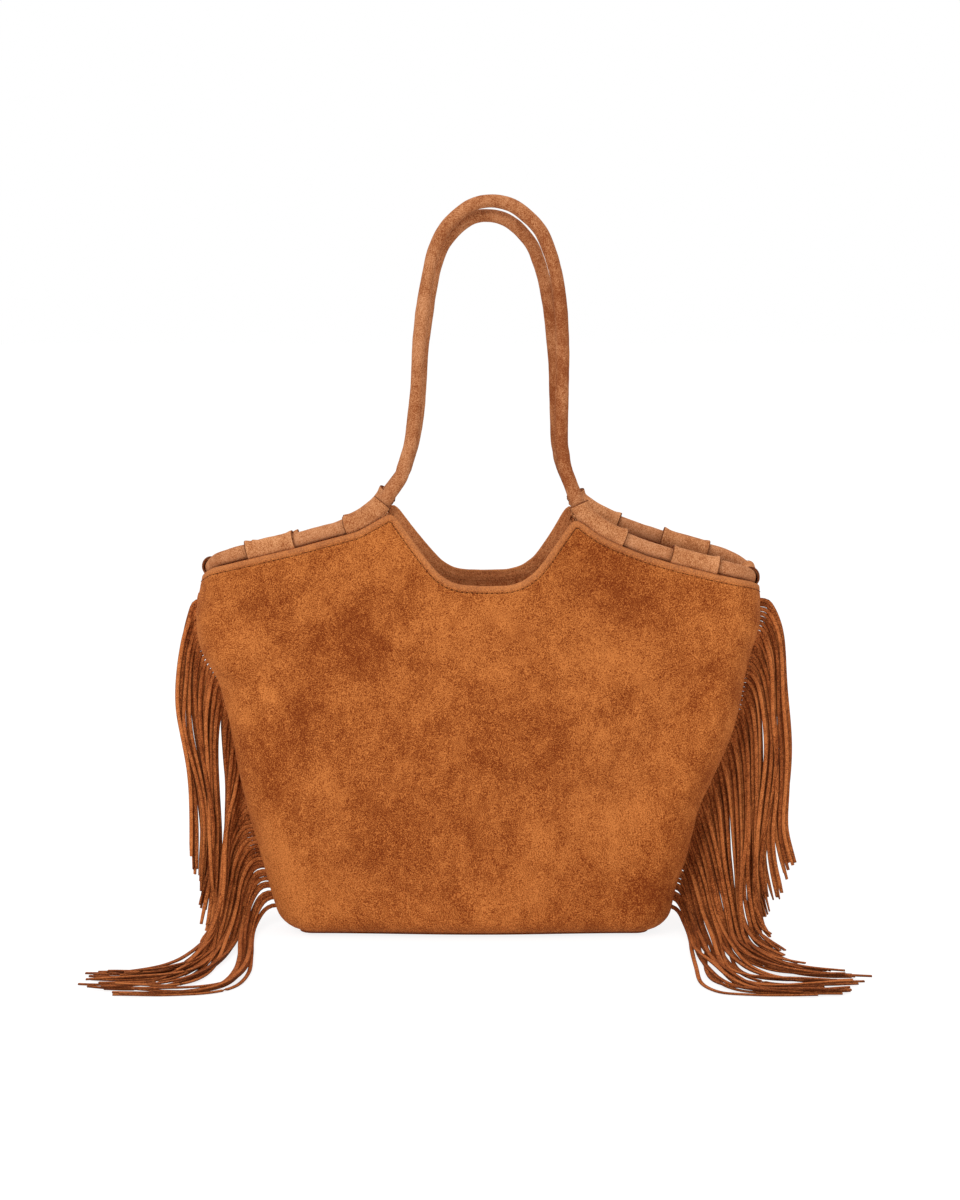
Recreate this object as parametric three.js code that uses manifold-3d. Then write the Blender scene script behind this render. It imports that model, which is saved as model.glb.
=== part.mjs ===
// Open suede tote with a notched mouth, a strap that runs once round the mouth through sewn tabs and
// rises into two handles, and a cut fringe in each side seam.
// Millimetres, +Z up. X runs along the bag, the front faces -Y, and the origin is the middle of the
// base's underside.
import * as THREE from 'three';
import { mergeVertices } from 'three/addons/utils/BufferGeometryUtils.js';
import Module from 'manifold-3d';

// Leather thicknesses and the play between sewn pieces
const PANEL_THICKNESS = 2;
const HEM_THICKNESS = 3.2;
const BASE_THICKNESS = 2.4;
const TAB_THICKNESS = 1.4;
const FRINGE_THICKNESS = 1.2;
const STRAND_THICKNESS = 1.1;
const CLEARANCE = 0.35;

// Body, outside sizes at named heights
const LENGTH_AT_FOOT = 316;
const LENGTH_AT_QUARTER = 354;
const LENGTH_AT_MIDDLE = 390;
const LENGTH_AT_WAIST = 418;
const LENGTH_AT_SHOULDER = 455;
const LENGTH_AT_MOUTH = 446;
const QUARTER_HEIGHT = 79;
const MIDDLE_HEIGHT = 143;
const WAIST_HEIGHT = 196;
const SHOULDER_HEIGHT = 254;
const END_DEPTH_AT_FOOT = 98;
const END_DEPTH_AT_MIDDLE = 100;
const END_DEPTH_AT_MOUTH = 74;
const CORNER_RADIUS = 30;
const BELLY_AT_FOOT = 4;
const BELLY_AT_MIDDLE = 9;
const BELLY_AT_MOUTH = 15;
const FOOT_RADIUS = 12;
const SEAM_ALLOWANCE = 9;
const BASE_MARGIN = 3;

// Mouth edge
const SEAM_TOP = 287;
const SHOULDER_SLOPE = 0.24;
const PEAK_HALF_SPAN = 72;
const PEAK_RISE = 12;
const PEAK_FADE = 20;
const NOTCH_DEPTH = 54;
const NOTCH_HALF_FLOOR = 29;
const NOTCH_RADIUS = 30;
const HEM_WIDTH = 9;

// Strap, one closed loop
const STRAP_HEIGHT = 11.5;
const STRAP_THICKNESS = 9;
const STRAP_GAP = 1.6;
const STRAP_SETBACK = 6.8;
const STRAP_LIFT = 14;
const STRAP_LIFT_FADE = 8.4;
const HANDLE_DIAMETER = 10.6;
const HANDLE_LEG_SPAN = 115;
const HANDLE_LEG_TURN = 32;
const HANDLE_LEG_TOP = 455;
const CROWN_SPAN = 109;
const CROWN_BASE = 500;
const CROWN_RISE = 88;
const CROWN_HALF_PARTING = 5.5;
const BACK_HANDLE_INSET = 5;
const BACK_HANDLE_DROP = 7;
const HANDLE_FOOT_OFFSET = 3;
const ROUND_SHARE = 0.25;
const STRAP_SIDES = 8;

// Tabs that hold the strap
const TAB_WIDTH = 36;
const TAB_SLACK = 0.85;
const TAB_SAG_SHARE = 0.25;
const TAB_WRAP = THREE.MathUtils.degToRad(248);
const TAB_CLEARANCE = 0.7;
const TAB_TONGUE = 8;
const INNER_TAB_OFFSET = 20.5;
const OUTER_TAB_INSET = 26;
const SIDE_TAB_WIDTH = 28;

// Fringe
const FRINGE_TOP = 267;
const FRINGE_BOTTOM = 22;
const FRINGE_PITCH = 3.45;
const STRAND_LENGTH = 250;
const STRAND_WIDTH = 2.8;
const STRAND_REACH = 12;
const STRAND_DROP = 10;
const STRAND_PLAY = 0.15;
const STRAND_BOW = 2;
const ROOT_OVERLAP = 2;
const ROOT_LEVEL = 3;
const STRAND_LEAN = 1;
const STRAND_SAG_SHARE = 0.45;
const STRAND_LAYERS = 3;
const FLOOR_HEADING = THREE.MathUtils.degToRad(53);
const FLOOR_PLAY = 0.4;
const PILE_HEIGHT = 8;
const HEADER_MARGIN = 6;
const HEADER_PROUD = 1;

const SUEDE = { color: 0xa85b2a, roughness: 0.95, metalness: 0 };
const STRAP_SUEDE = { color: 0xc08258, roughness: 0.95, metalness: 0 };
const FRINGE_SUEDE = { color: 0x914e29, roughness: 0.95, metalness: 0 };

// Rows and steps of the meshes: close where a piece bends, wide where it is nearly straight
const FOOT_ROWS = [0, 32, 64];
const WALL_ROWS = 8;
const HEADER_ROWS = 12;
const CLOSE_STEPS = 6;
const WIDE_STEPS = 3;
const SHOULDER_STEPS = 5;
const LEG_STEPS = 8;
const CROWN_STEPS = 7;
const TAB_OVER_STEPS = 8;
const SLOPE_STEP = 0.5;
const REACH_PASSES = 12;
const WELD_DISTANCE = 1e-4;

const wallBottom = BASE_THICKNESS + CLEARANCE;
const footTop = wallBottom + FOOT_RADIUS;
const seamHalf = FRINGE_THICKNESS / 2 + CLEARANCE;

// A smooth size over height, from pairs of height and size
function sizeOverHeight(pairs) {
  const heights = pairs.map(([height]) => height);
  const sizes = pairs.map(([, size]) => size);
  const curve = new THREE.CubicInterpolant(heights, sizes, 1);
  return (height) => curve.evaluate(height)[0];
}

const halfLength = sizeOverHeight([
  [footTop, LENGTH_AT_FOOT / 2],
  [QUARTER_HEIGHT, LENGTH_AT_QUARTER / 2],
  [MIDDLE_HEIGHT, LENGTH_AT_MIDDLE / 2],
  [WAIST_HEIGHT, LENGTH_AT_WAIST / 2],
  [SHOULDER_HEIGHT, LENGTH_AT_SHOULDER / 2],
  [SEAM_TOP, LENGTH_AT_MOUTH / 2],
]);
const endHalfDepth = sizeOverHeight([
  [footTop, END_DEPTH_AT_FOOT / 2],
  [MIDDLE_HEIGHT, END_DEPTH_AT_MIDDLE / 2],
  [SEAM_TOP, END_DEPTH_AT_MOUTH / 2],
]);
const belly = sizeOverHeight([
  [footTop, BELLY_AT_FOOT],
  [MIDDLE_HEIGHT, BELLY_AT_MIDDLE],
  [SEAM_TOP, BELLY_AT_MOUTH],
]);

// Cloth distance round the mouth, from the middle of the front to each seam
const frontRun = LENGTH_AT_MOUTH / 2 - CORNER_RADIUS;
const cornerRun = (Math.PI / 2) * CORNER_RADIUS;
const sideRun = END_DEPTH_AT_MOUTH / 2 - CORNER_RADIUS;
const seamRun = frontRun + cornerRun + sideRun;

// Outside of the body at a cloth distance from the front's middle. Past a seam the way goes on round
// the back.
function ringPoint(run, height, inset = 0) {
  const onBack = Math.abs(run) > seamRun;
  const folded = onBack ? 2 * seamRun - Math.abs(run) : Math.abs(run);
  const radius = Math.max(CORNER_RADIUS - inset, 1);
  const straight = halfLength(height) - CORNER_RADIUS;
  const sideDepth = endHalfDepth(height) - CORNER_RADIUS;
  let x;
  let depth;
  if (folded <= frontRun) {
    const share = folded / frontRun;
    x = straight * share;
    depth = sideDepth + radius + belly(height) * Math.cos((Math.PI / 2) * share) ** 2;
  } else if (folded <= frontRun + cornerRun) {
    const turn = ((folded - frontRun) / cornerRun) * (Math.PI / 2);
    x = straight + radius * Math.sin(turn);
    depth = sideDepth + radius * Math.cos(turn);
  } else {
    x = straight + radius;
    depth = sideDepth * (seamRun - folded) / sideRun;
  }
  return new THREE.Vector3(Math.sign(run) * x, onBack ? depth : -depth, height);
}

// Height of the mouth's edge at a cloth distance: two peaks with a rounded notch between them
function shoulderEdge(run) {
  const fade = Math.exp(-(run - PEAK_HALF_SPAN) / PEAK_FADE);
  return SEAM_TOP + SHOULDER_SLOPE * (seamRun - run) + PEAK_RISE * fade;
}

const peakHeight = shoulderEdge(PEAK_HALF_SPAN);
const notchFloor = peakHeight - NOTCH_DEPTH;
const notchAngle = Math.atan2(NOTCH_DEPTH, PEAK_HALF_SPAN - NOTCH_HALF_FLOOR);
const notchTangent = NOTCH_RADIUS * Math.tan(notchAngle / 2);
const notchArcStart = NOTCH_HALF_FLOOR - notchTangent;
const notchArcEnd = NOTCH_HALF_FLOOR + notchTangent * Math.cos(notchAngle);

function foldedRun(run) {
  const distance = Math.abs(run);
  return distance > seamRun ? 2 * seamRun - distance : distance;
}

function edgeHeight(run) {
  const distance = foldedRun(run);
  if (distance >= PEAK_HALF_SPAN) return shoulderEdge(distance);
  if (distance >= notchArcEnd) return peakHeight - (PEAK_HALF_SPAN - distance) * Math.tan(notchAngle);
  if (distance <= notchArcStart) return notchFloor;
  const across = distance - notchArcStart;
  return notchFloor + NOTCH_RADIUS - Math.sqrt(NOTCH_RADIUS ** 2 - across ** 2);
}

// Level outward direction of the body at a cloth distance
function outward(run, height) {
  const way = ringPoint(run + SLOPE_STEP, height).sub(ringPoint(run - SLOPE_STEP, height));
  return new THREE.Vector3(way.y, -way.x, 0).normalize();
}

// Joins corners that coincide and drops the triangles that this flattens
function weld(geometry) {
  const merged = mergeVertices(geometry, WELD_DISTANCE);
  const index = merged.index.array;
  const kept = [];
  for (let i = 0; i < index.length; i += 3) {
    const [a, b, c] = index.slice(i, i + 3);
    if (a !== b && b !== c && c !== a) kept.push(a, b, c);
  }
  merged.setIndex(kept);
  return merged;
}

// A box of cells bent into shape: place(column, row, outer) gives the point of each corner
function bentBox(columns, rows, place) {
  const box = new THREE.BoxGeometry(1, 1, 1, columns, rows, 1);
  box.deleteAttribute('normal');
  box.deleteAttribute('uv');
  const position = box.attributes.position;
  for (let i = 0; i < position.count; i += 1) {
    const column = Math.round((position.getX(i) + 0.5) * columns);
    const row = Math.round((position.getY(i) + 0.5) * rows);
    const point = place(column, row, position.getZ(i) > 0);
    position.setXYZ(i, point.x, point.y, point.z);
  }
  return weld(box);
}

function mirrored(geometry) {
  const copy = geometry.clone().scale(-1, 1, 1);
  const index = copy.index.array;
  for (let i = 0; i < index.length; i += 3) [index[i], index[i + 1]] = [index[i + 1], index[i]];
  return copy;
}

function evenSteps(from, to, count) {
  return Array.from({ length: count + 1 }, (_, i) => from + ((to - from) * i) / count);
}

// Cloth distances of the front panel's columns, from its middle to a seam
function halfColumns() {
  const arc = evenSteps(notchArcStart, notchArcEnd, WIDE_STEPS);
  const flank = evenSteps(notchArcEnd, PEAK_HALF_SPAN, WIDE_STEPS - 1).slice(1);
  const shoulder = evenSteps(PEAK_HALF_SPAN, frontRun, CLOSE_STEPS).slice(1);
  const corner = evenSteps(frontRun, frontRun + cornerRun, SHOULDER_STEPS).slice(1);
  return [...arc, ...flank, ...shoulder, ...corner, seamRun];
}

// Rows of the wall from its turned-in lower edge to the mouth: each gives a height and an inset at a column
function wallRow(run, row) {
  if (row === 0) return { height: wallBottom, inset: FOOT_RADIUS + SEAM_ALLOWANCE };
  if (row <= FOOT_ROWS.length) {
    const turn = THREE.MathUtils.degToRad(FOOT_ROWS[row - 1]);
    const height = wallBottom + FOOT_RADIUS * (1 - Math.cos(turn));
    return { height, inset: FOOT_RADIUS * (1 - Math.sin(turn)) };
  }
  const hemLine = edgeHeight(run) - HEM_WIDTH;
  const step = row - FOOT_ROWS.length - 1;
  if (step > WALL_ROWS) return { height: edgeHeight(run), inset: 0 };
  return { height: footTop + ((hemLine - footTop) * step) / WALL_ROWS, inset: 0 };
}

const topRow = FOOT_ROWS.length + WALL_ROWS + 2;

function wallPoint(run, row) {
  const { height, inset } = wallRow(run, row);
  const point = ringPoint(run, height, inset);
  point.y = Math.min(point.y, -seamHalf);
  return point;
}

function wallNormal(run, row) {
  if (row <= 1) return new THREE.Vector3(0, 0, -1);
  const { height } = wallRow(run, row);
  const along = ringPoint(run + SLOPE_STEP, height).sub(ringPoint(run - SLOPE_STEP, height));
  const up = wallPoint(run, Math.min(row + 1, topRow)).sub(wallPoint(run, row - 1));
  return along.cross(up).normalize();
}

// One half of the body: outside skin, thicker turned hem at the mouth and a flange turned in at each
// side seam
function panelGeometry() {
  const half = halfColumns();
  const runs = [...half.map((run) => -run).reverse(), ...half];
  const seamColumn = runs.length;
  const place = (column, row, outer) => {
    const inFlange = column === 0 || column > seamColumn;
    const atSeam = inFlange || column === 1 || column === seamColumn;
    const run = runs[THREE.MathUtils.clamp(column - 1, 0, runs.length - 1)];
    const thickness = row >= topRow - 1 ? HEM_THICKNESS : PANEL_THICKNESS;
    const point = wallPoint(run, row);
    const flanged = row > FOOT_ROWS.length + 1 && row < topRow - 1;
    if (!atSeam || !flanged) return outer ? point : point.addScaledVector(wallNormal(run, row), -thickness);
    const inwards = -Math.sign(run);
    if (inFlange) point.x += inwards * SEAM_ALLOWANCE;
    if (!outer) {
      point.y -= thickness;
      if (!inFlange) point.x += inwards * thickness;
    }
    return point;
  };
  return bentBox(runs.length + 1, topRow, place);
}

// Flat base, its edge a little outside the line where the walls turn in
function baseGeometry() {
  const inset = FOOT_RADIUS - BASE_MARGIN;
  const right = halfColumns();
  const front = [...right.map((run) => -run).reverse(), ...right];
  const back = front.slice(1, -1).map((run) => run + 2 * seamRun);
  const shape = new THREE.Shape([...front, ...back].map((run) => {
    const onBack = run > seamRun;
    const point = ringPoint(onBack ? run - 2 * seamRun : run, footTop, inset);
    return onBack ? new THREE.Vector2(-point.x, -point.y) : new THREE.Vector2(point.x, point.y);
  }));
  const plate = new THREE.ExtrudeGeometry(shape, { depth: BASE_THICKNESS, bevelEnabled: false });
  plate.deleteAttribute('normal');
  plate.deleteAttribute('uv');
  return weld(plate);
}

// Height of the strap's middle over the mouth's edge: it climbs towards the peak, where the handle leaves
function strapLine(distance) {
  const lift = STRAP_LIFT * Math.exp(-(distance - PEAK_HALF_SPAN) / STRAP_LIFT_FADE);
  return shoulderEdge(distance) + STRAP_GAP + STRAP_HEIGHT / 2 + lift;
}

function strapSteepness(distance) {
  const climb = strapLine(distance - SLOPE_STEP) - strapLine(distance + SLOPE_STEP);
  return Math.atan(climb / (2 * SLOPE_STEP));
}

// Top (side 1) or underside (side -1) of the strap in an upright cut at a distance
function strapReach(distance, side) {
  let at = distance;
  for (let pass = 0; pass < REACH_PASSES; pass += 1) {
    at = (at + distance - (side * STRAP_HEIGHT / 2) * Math.sin(strapSteepness(at))) / 2;
  }
  return strapLine(at) + (side * STRAP_HEIGHT / 2) * Math.cos(strapSteepness(at));
}

// Seat of the strap over the mouth's edge, and the room that it takes up in an upright cut
function strapSeat(run) {
  const distance = foldedRun(run);
  const edge = shoulderEdge(distance);
  const out = outward(run, edge);
  const point = ringPoint(run, edge).addScaledVector(out, -STRAP_SETBACK).setZ(strapLine(distance));
  const top = strapReach(distance, 1);
  const bottom = strapReach(distance, -1);
  return { point, out, edge, top, bottom };
}

const handleFoot = PEAK_HALF_SPAN - HANDLE_FOOT_OFFSET;

// Right half of one handle, from its foot on the shoulder to the top of the crown
function handleHalf(depthSign, inset, drop) {
  const foot = strapSeat(handleFoot);
  const below = strapSeat(handleFoot + SLOPE_STEP);
  const rise = foot.point.clone().sub(below.point).normalize();
  const crownHalf = CROWN_SPAN / 2 - inset;
  const start = new THREE.Vector3(foot.point.x, 0, foot.point.z);
  const leave = new THREE.Vector3(rise.x, 0, rise.z).multiplyScalar(HANDLE_LEG_TURN).add(start);
  const legTop = new THREE.Vector3(HANDLE_LEG_SPAN / 2 - inset, 0, HANDLE_LEG_TOP);
  const crownStart = new THREE.Vector3(crownHalf, 0, CROWN_BASE);
  const legCurve = new THREE.CubicBezierCurve3(start, leave, legTop, crownStart);
  const leg = legCurve.getPoints(LEG_STEPS).slice(1, -1);
  const crown = evenSteps(0, Math.PI / 2, CROWN_STEPS).map((turn) => new THREE.Vector3(
    crownHalf * Math.cos(turn), 0, CROWN_BASE + (CROWN_RISE - drop) * Math.sin(turn)));
  const top = CROWN_BASE + CROWN_RISE - drop;
  return [...leg, ...crown].map((point) => {
    const share = (point.z - foot.point.z) / (top - foot.point.z);
    const depth = THREE.MathUtils.lerp(Math.abs(foot.point.y), CROWN_HALF_PARTING, share);
    return { point: point.setY(depthSign * depth), out: new THREE.Vector3(0, depthSign, 0), share };
  });
}

const innerTabFarEnd = PEAK_HALF_SPAN + INNER_TAB_OFFSET + TAB_WIDTH / 2;
const innerTabNearEnd = innerTabFarEnd - TAB_WIDTH;

// Stations of the loop: front shoulders and handle from left to right, then the back from right to left
function strapStations() {
  const seat = (run) => ({ ...strapSeat(run), share: 0 });
  const shoulder = [
    ...evenSteps(seamRun, frontRun, SHOULDER_STEPS).slice(0, -1),
    ...evenSteps(frontRun, innerTabFarEnd, SHOULDER_STEPS).slice(0, -1),
    ...evenSteps(innerTabFarEnd, innerTabNearEnd, CLOSE_STEPS).slice(0, -1),
    innerTabNearEnd,
    handleFoot,
  ];
  const side = (sign) => {
    const onBack = sign > 0;
    const inset = onBack ? BACK_HANDLE_INSET : 0;
    const drop = onBack ? BACK_HANDLE_DROP : 0;
    const rightHalf = handleHalf(sign, inset, drop);
    const leftHalf = rightHalf.map(({ point, out, share }) => ({
      point: new THREE.Vector3(-point.x, point.y, point.z), out, share }));
    const rising = shoulder.map((run) => seat(-run));
    const falling = shoulder.slice(0, -1).reverse();
    const edge = rightHalf.slice(0, -1).reverse();
    const run = [...rising, ...leftHalf, ...edge, seat(handleFoot), ...falling.map(seat)];
    return onBack ? run.map(({ point, out, share }) => ({
      point: new THREE.Vector3(-point.x, Math.abs(point.y), point.z),
      out: new THREE.Vector3(-out.x, Math.abs(out.y), 0),
      share })) : run;
  };
  return [...side(-1).slice(0, -1), ...side(1).slice(0, -1)];
}

// Share of the way from the flat shoulder section to the round handle section
function roundness(share) {
  return THREE.MathUtils.smoothstep(share, 0, ROUND_SHARE);
}

function strapGeometry() {
  const stations = strapStations();
  const count = stations.length;
  const ring = new THREE.TorusGeometry(1, 0.5, STRAP_SIDES, count);
  ring.deleteAttribute('normal');
  const uv = ring.attributes.uv;
  const position = ring.attributes.position;
  for (let i = 0; i < position.count; i += 1) {
    const at = Math.round(uv.getX(i) * count) % count;
    const turn = uv.getY(i) * 2 * Math.PI;
    const { point, out, share } = stations[at];
    const before = stations[(at + count - 1) % count].point;
    const way = stations[(at + 1) % count].point.clone().sub(before).normalize();
    const across = out.clone().addScaledVector(way, -out.dot(way)).normalize();
    const up = across.clone().cross(way);
    const halfAcross = THREE.MathUtils.lerp(STRAP_THICKNESS, HANDLE_DIAMETER, roundness(share)) / 2;
    const halfUp = THREE.MathUtils.lerp(STRAP_HEIGHT, HANDLE_DIAMETER, roundness(share)) / 2;
    const p = point.clone().addScaledVector(across, halfAcross * Math.cos(turn))
      .addScaledVector(up, halfUp * Math.sin(turn));
    position.setXYZ(i, p.x, p.y, p.z);
  }
  ring.deleteAttribute('uv');
  return weld(ring);
}

// Middle line of a tab in an upright cut, as distance outward from the strap's middle and height: up
// inside the hem, over the strap and down again behind itself
function tabLine({ edge, top, bottom }) {
  const halfAcross = STRAP_THICKNESS / 2 + TAB_SLACK + TAB_THICKNESS / 2;
  const underside = bottom - (bottom - edge) * TAB_SAG_SHARE;
  const halfUp = (top - underside) / 2 + TAB_SLACK + TAB_THICKNESS / 2;
  const middle = (top + underside) / 2;
  const frontLeg = STRAP_SETBACK - HEM_THICKNESS - TAB_CLEARANCE - TAB_THICKNESS / 2;
  const backLeg = frontLeg - TAB_THICKNESS - CLEARANCE;
  const start = Math.acos(frontLeg / halfAcross);
  const overs = evenSteps(-start, TAB_WRAP, TAB_OVER_STEPS);
  const loop = overs.map((turn) => [halfAcross * Math.cos(turn), middle + halfUp * Math.sin(turn)]);
  return [
    [frontLeg, edge - TAB_TONGUE],
    [frontLeg, edge + STRAP_GAP / 4],
    ...loop,
    [backLeg, edge - STRAP_GAP],
    [backLeg, edge - TAB_TONGUE],
  ];
}

function tabGeometry(centre, width, segments) {
  const runs = evenSteps(centre - width / 2, centre + width / 2, segments);
  const stations = runs.map(strapSeat);
  const lines = stations.map(tabLine);
  const place = (column, row, outer) => {
    const line = lines[column];
    const before = line[Math.max(row - 1, 0)];
    const after = line[Math.min(row + 1, line.length - 1)];
    const length = Math.hypot(after[0] - before[0], after[1] - before[1]);
    const offset = (outer ? 1 : -1) * (TAB_THICKNESS / 2);
    const across = line[row][0] + (offset * (after[1] - before[1])) / length;
    const up = line[row][1] - (offset * (after[0] - before[0])) / length;
    const { out, edge } = stations[column];
    const wall = ringPoint(runs[column], Math.min(up, edge));
    return wall.addScaledVector(out, across - STRAP_SETBACK).setZ(up);
  };
  return bentBox(segments, lines[0].length - 1, place);
}

const hanging = STRAND_LENGTH - STRAND_REACH - STRAND_DROP / 2;
const lowestHanging = PILE_HEIGHT + STRAND_DROP + (hanging - STRAND_REACH) / Math.hypot(1, STRAND_LEAN);

// Distance from the middle at which a strand hangs: the hanging ones lie outside each other like pages
function hangingLine(root) {
  const above = Math.max(root - lowestHanging, 0);
  const page = (FRINGE_THICKNESS + STRAND_PLAY) / FRINGE_PITCH;
  return halfLength(Math.min(root, lowestHanging)) + STRAND_REACH + above * page;
}

// Route of one strand of the right fringe. The high ones hang, free or with their tips swung forward on
// the pile, and the low ones lean forward to the floor and run along it.
function strandRoute(index) {
  const root = FRINGE_TOP - index * FRINGE_PITCH;
  const edge = halfLength(root);
  const layer = (index % STRAND_LAYERS) * (FRINGE_THICKNESS + CLEARANCE);
  const floor = FLOOR_PLAY + FRINGE_THICKNESS / 2 + layer;
  const bend = new THREE.Vector3(hangingLine(root), 0, root - STRAND_DROP);
  const from = (x, y, z) => bend.clone().add(new THREE.Vector3(x, y, z));
  const start = [edge - ROOT_OVERLAP, edge + ROOT_LEVEL].map((x) => new THREE.Vector3(x, 0, root));
  const fall = Math.min(bend.z - PILE_HEIGHT, hanging);
  if (root > lowestHanging) {
    const swing = Math.sqrt(hanging ** 2 - fall ** 2);
    const middle = from(STRAND_BOW, -swing * STRAND_SAG_SHARE, -fall / 2);
    return { hangs: true, points: [...start, bend, middle, from(0, -swing, -fall)] };
  }
  const lean = STRAND_LEAN * fall;
  const rest = hanging - Math.hypot(bend.z - floor, lean);
  const landing = new THREE.Vector3(bend.x + 2 * STRAND_BOW, -lean, floor);
  const heading = new THREE.Vector3(Math.cos(FLOOR_HEADING), -Math.sin(FLOOR_HEADING), 0);
  const tip = landing.clone().addScaledVector(heading, rest);
  const sag = from(STRAND_BOW, -lean * STRAND_SAG_SHARE, -fall * (1 - STRAND_SAG_SHARE));
  return { hangs: false, points: [...start, bend, sag, landing, tip] };
}

// A flat strip along the route: on edge in the seam, and level across where it leans or lies
function strandGeometry({ points, hangs }) {
  const last = points.length - 1;
  const upright = new THREE.Vector3(0, 0, 1);
  const place = (column, row, outer) => {
    const way = points[Math.min(row + 1, last)].clone().sub(points[Math.max(row - 1, 0)]).normalize();
    const fanned = new THREE.Vector3(0, 1, 0);
    const level = hangs ? fanned : way.clone().cross(upright).negate();
    const inSeam = row < 2;
    const broad = inSeam ? upright.clone() : level;
    const wide = broad.addScaledVector(way, -broad.dot(way)).normalize();
    const thick = wide.clone().cross(way);
    const across = (column - 0.5) * STRAND_WIDTH;
    const through = (outer ? 0.5 : -0.5) * STRAND_THICKNESS;
    return points[row].clone().addScaledVector(wide, across).addScaledVector(thick, through);
  };
  return bentBox(1, last, place);
}

// Uncut band of the fringe strip, which lies between the two side seam flanges
function headerGeometry() {
  const rows = evenSteps(FRINGE_BOTTOM - HEADER_MARGIN, FRINGE_TOP + HEADER_MARGIN, HEADER_ROWS);
  const place = (column, row, outer) => {
    const height = rows[row];
    const x = halfLength(height) + (column === 0 ? -SEAM_ALLOWANCE : HEADER_PROUD);
    return new THREE.Vector3(x, (outer ? -0.5 : 0.5) * FRINGE_THICKNESS, height);
  };
  return bentBox(1, rows.length - 1, place);
}

const wasm = await Module();
wasm.setup();

function toSolid(geometry) {
  const vertProperties = new Float32Array(geometry.attributes.position.array);
  const triVerts = new Uint32Array(geometry.index.array);
  return new wasm.Manifold(new wasm.Mesh({ numProp: 3, vertProperties, triVerts }));
}

function toGeometry(solid) {
  const mesh = solid.getMesh();
  const geometry = new THREE.BufferGeometry();
  geometry.setAttribute('position', new THREE.BufferAttribute(mesh.vertProperties, 3));
  geometry.setIndex(new THREE.BufferAttribute(mesh.triVerts, 1));
  return geometry;
}

function fringeGeometry() {
  const count = Math.floor((FRINGE_TOP - FRINGE_BOTTOM) / FRINGE_PITCH) + 1;
  let strip = toSolid(headerGeometry());
  for (let index = 0; index < count; index += 1) {
    strip = strip.add(toSolid(strandGeometry(strandRoute(index))));
  }
  return toGeometry(strip);
}

const bag = new THREE.Group();

function addPiece(name, geometry, finish) {
  const mesh = new THREE.Mesh(geometry, new THREE.MeshStandardMaterial(finish));
  mesh.name = name;
  bag.add(mesh);
  return mesh;
}

const panel = panelGeometry();
addPiece('front_panel', panel, SUEDE);
addPiece('back_panel', panel.clone(), SUEDE).rotation.z = Math.PI;
addPiece('base_panel', baseGeometry(), SUEDE);
addPiece('strap', strapGeometry(), STRAP_SUEDE);

const shoulderTabs = [
  { place: 'inner', run: PEAK_HALF_SPAN + INNER_TAB_OFFSET, steps: CLOSE_STEPS },
  { place: 'outer', run: frontRun - OUTER_TAB_INSET, steps: WIDE_STEPS },
];
for (const { place, run, steps } of shoulderTabs) {
  addPiece(`tab_front_left_${place}`, tabGeometry(-run, TAB_WIDTH, steps), STRAP_SUEDE);
  addPiece(`tab_front_right_${place}`, tabGeometry(run, TAB_WIDTH, steps), STRAP_SUEDE);
  addPiece(`tab_back_right_${place}`, tabGeometry(2 * seamRun - run, TAB_WIDTH, steps), STRAP_SUEDE);
  addPiece(`tab_back_left_${place}`, tabGeometry(run - 2 * seamRun, TAB_WIDTH, steps), STRAP_SUEDE);
}
const sideTab = tabGeometry(seamRun, SIDE_TAB_WIDTH, CLOSE_STEPS);
addPiece('side_tab_right', sideTab, STRAP_SUEDE);
addPiece('side_tab_left', sideTab.clone(), STRAP_SUEDE).rotation.z = Math.PI;

const fringe = fringeGeometry();
addPiece('fringe_right', fringe, FRINGE_SUEDE);
addPiece('fringe_left', mirrored(fringe), FRINGE_SUEDE);

export default bag;
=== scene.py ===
"""Looks of a fringed suede tote: soft shells, a padded strap in sewn tabs and a cut fringe in each side seam.

Lengths in the classes are millimetres, as a bag maker would mark them, and become metres in the meshes.
+X runs along the bag, the front faces -Y and the floor is at zero.
"""

from __future__ import annotations

import logging
import math
from dataclasses import dataclass, field, replace
from enum import Enum

import bpy
import numpy as np
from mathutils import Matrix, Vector

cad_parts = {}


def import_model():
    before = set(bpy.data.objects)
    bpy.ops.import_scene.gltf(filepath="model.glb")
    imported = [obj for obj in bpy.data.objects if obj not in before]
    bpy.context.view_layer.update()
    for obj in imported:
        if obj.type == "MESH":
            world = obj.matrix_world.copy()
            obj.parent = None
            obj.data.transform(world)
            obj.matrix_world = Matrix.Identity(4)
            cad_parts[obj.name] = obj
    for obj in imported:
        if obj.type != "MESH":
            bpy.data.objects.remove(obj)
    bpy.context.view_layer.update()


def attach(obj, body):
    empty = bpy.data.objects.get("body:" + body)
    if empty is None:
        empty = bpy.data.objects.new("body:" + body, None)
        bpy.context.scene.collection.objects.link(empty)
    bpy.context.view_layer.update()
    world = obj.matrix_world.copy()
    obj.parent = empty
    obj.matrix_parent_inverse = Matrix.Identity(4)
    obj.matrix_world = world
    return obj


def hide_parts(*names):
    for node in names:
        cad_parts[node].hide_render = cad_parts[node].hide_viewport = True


LOG = logging.getLogger("tote")
MM = 0.001
BELL_REACH = 3
KNOT_MARGIN = 4
SPLINE_STEPS = 16
CAMERA_SENSOR = 36.0

Array = np.ndarray
Colour = tuple[float, float, float]
Polygon = tuple[int, ...]


class Side(Enum):
    """The bag's two ends, seen from the front."""

    LEFT = -1
    RIGHT = 1


class Face(Enum):
    """The bag's two faces; the value is the sign of Y."""

    FRONT = -1
    BACK = 1


# Shapes in numbers


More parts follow.
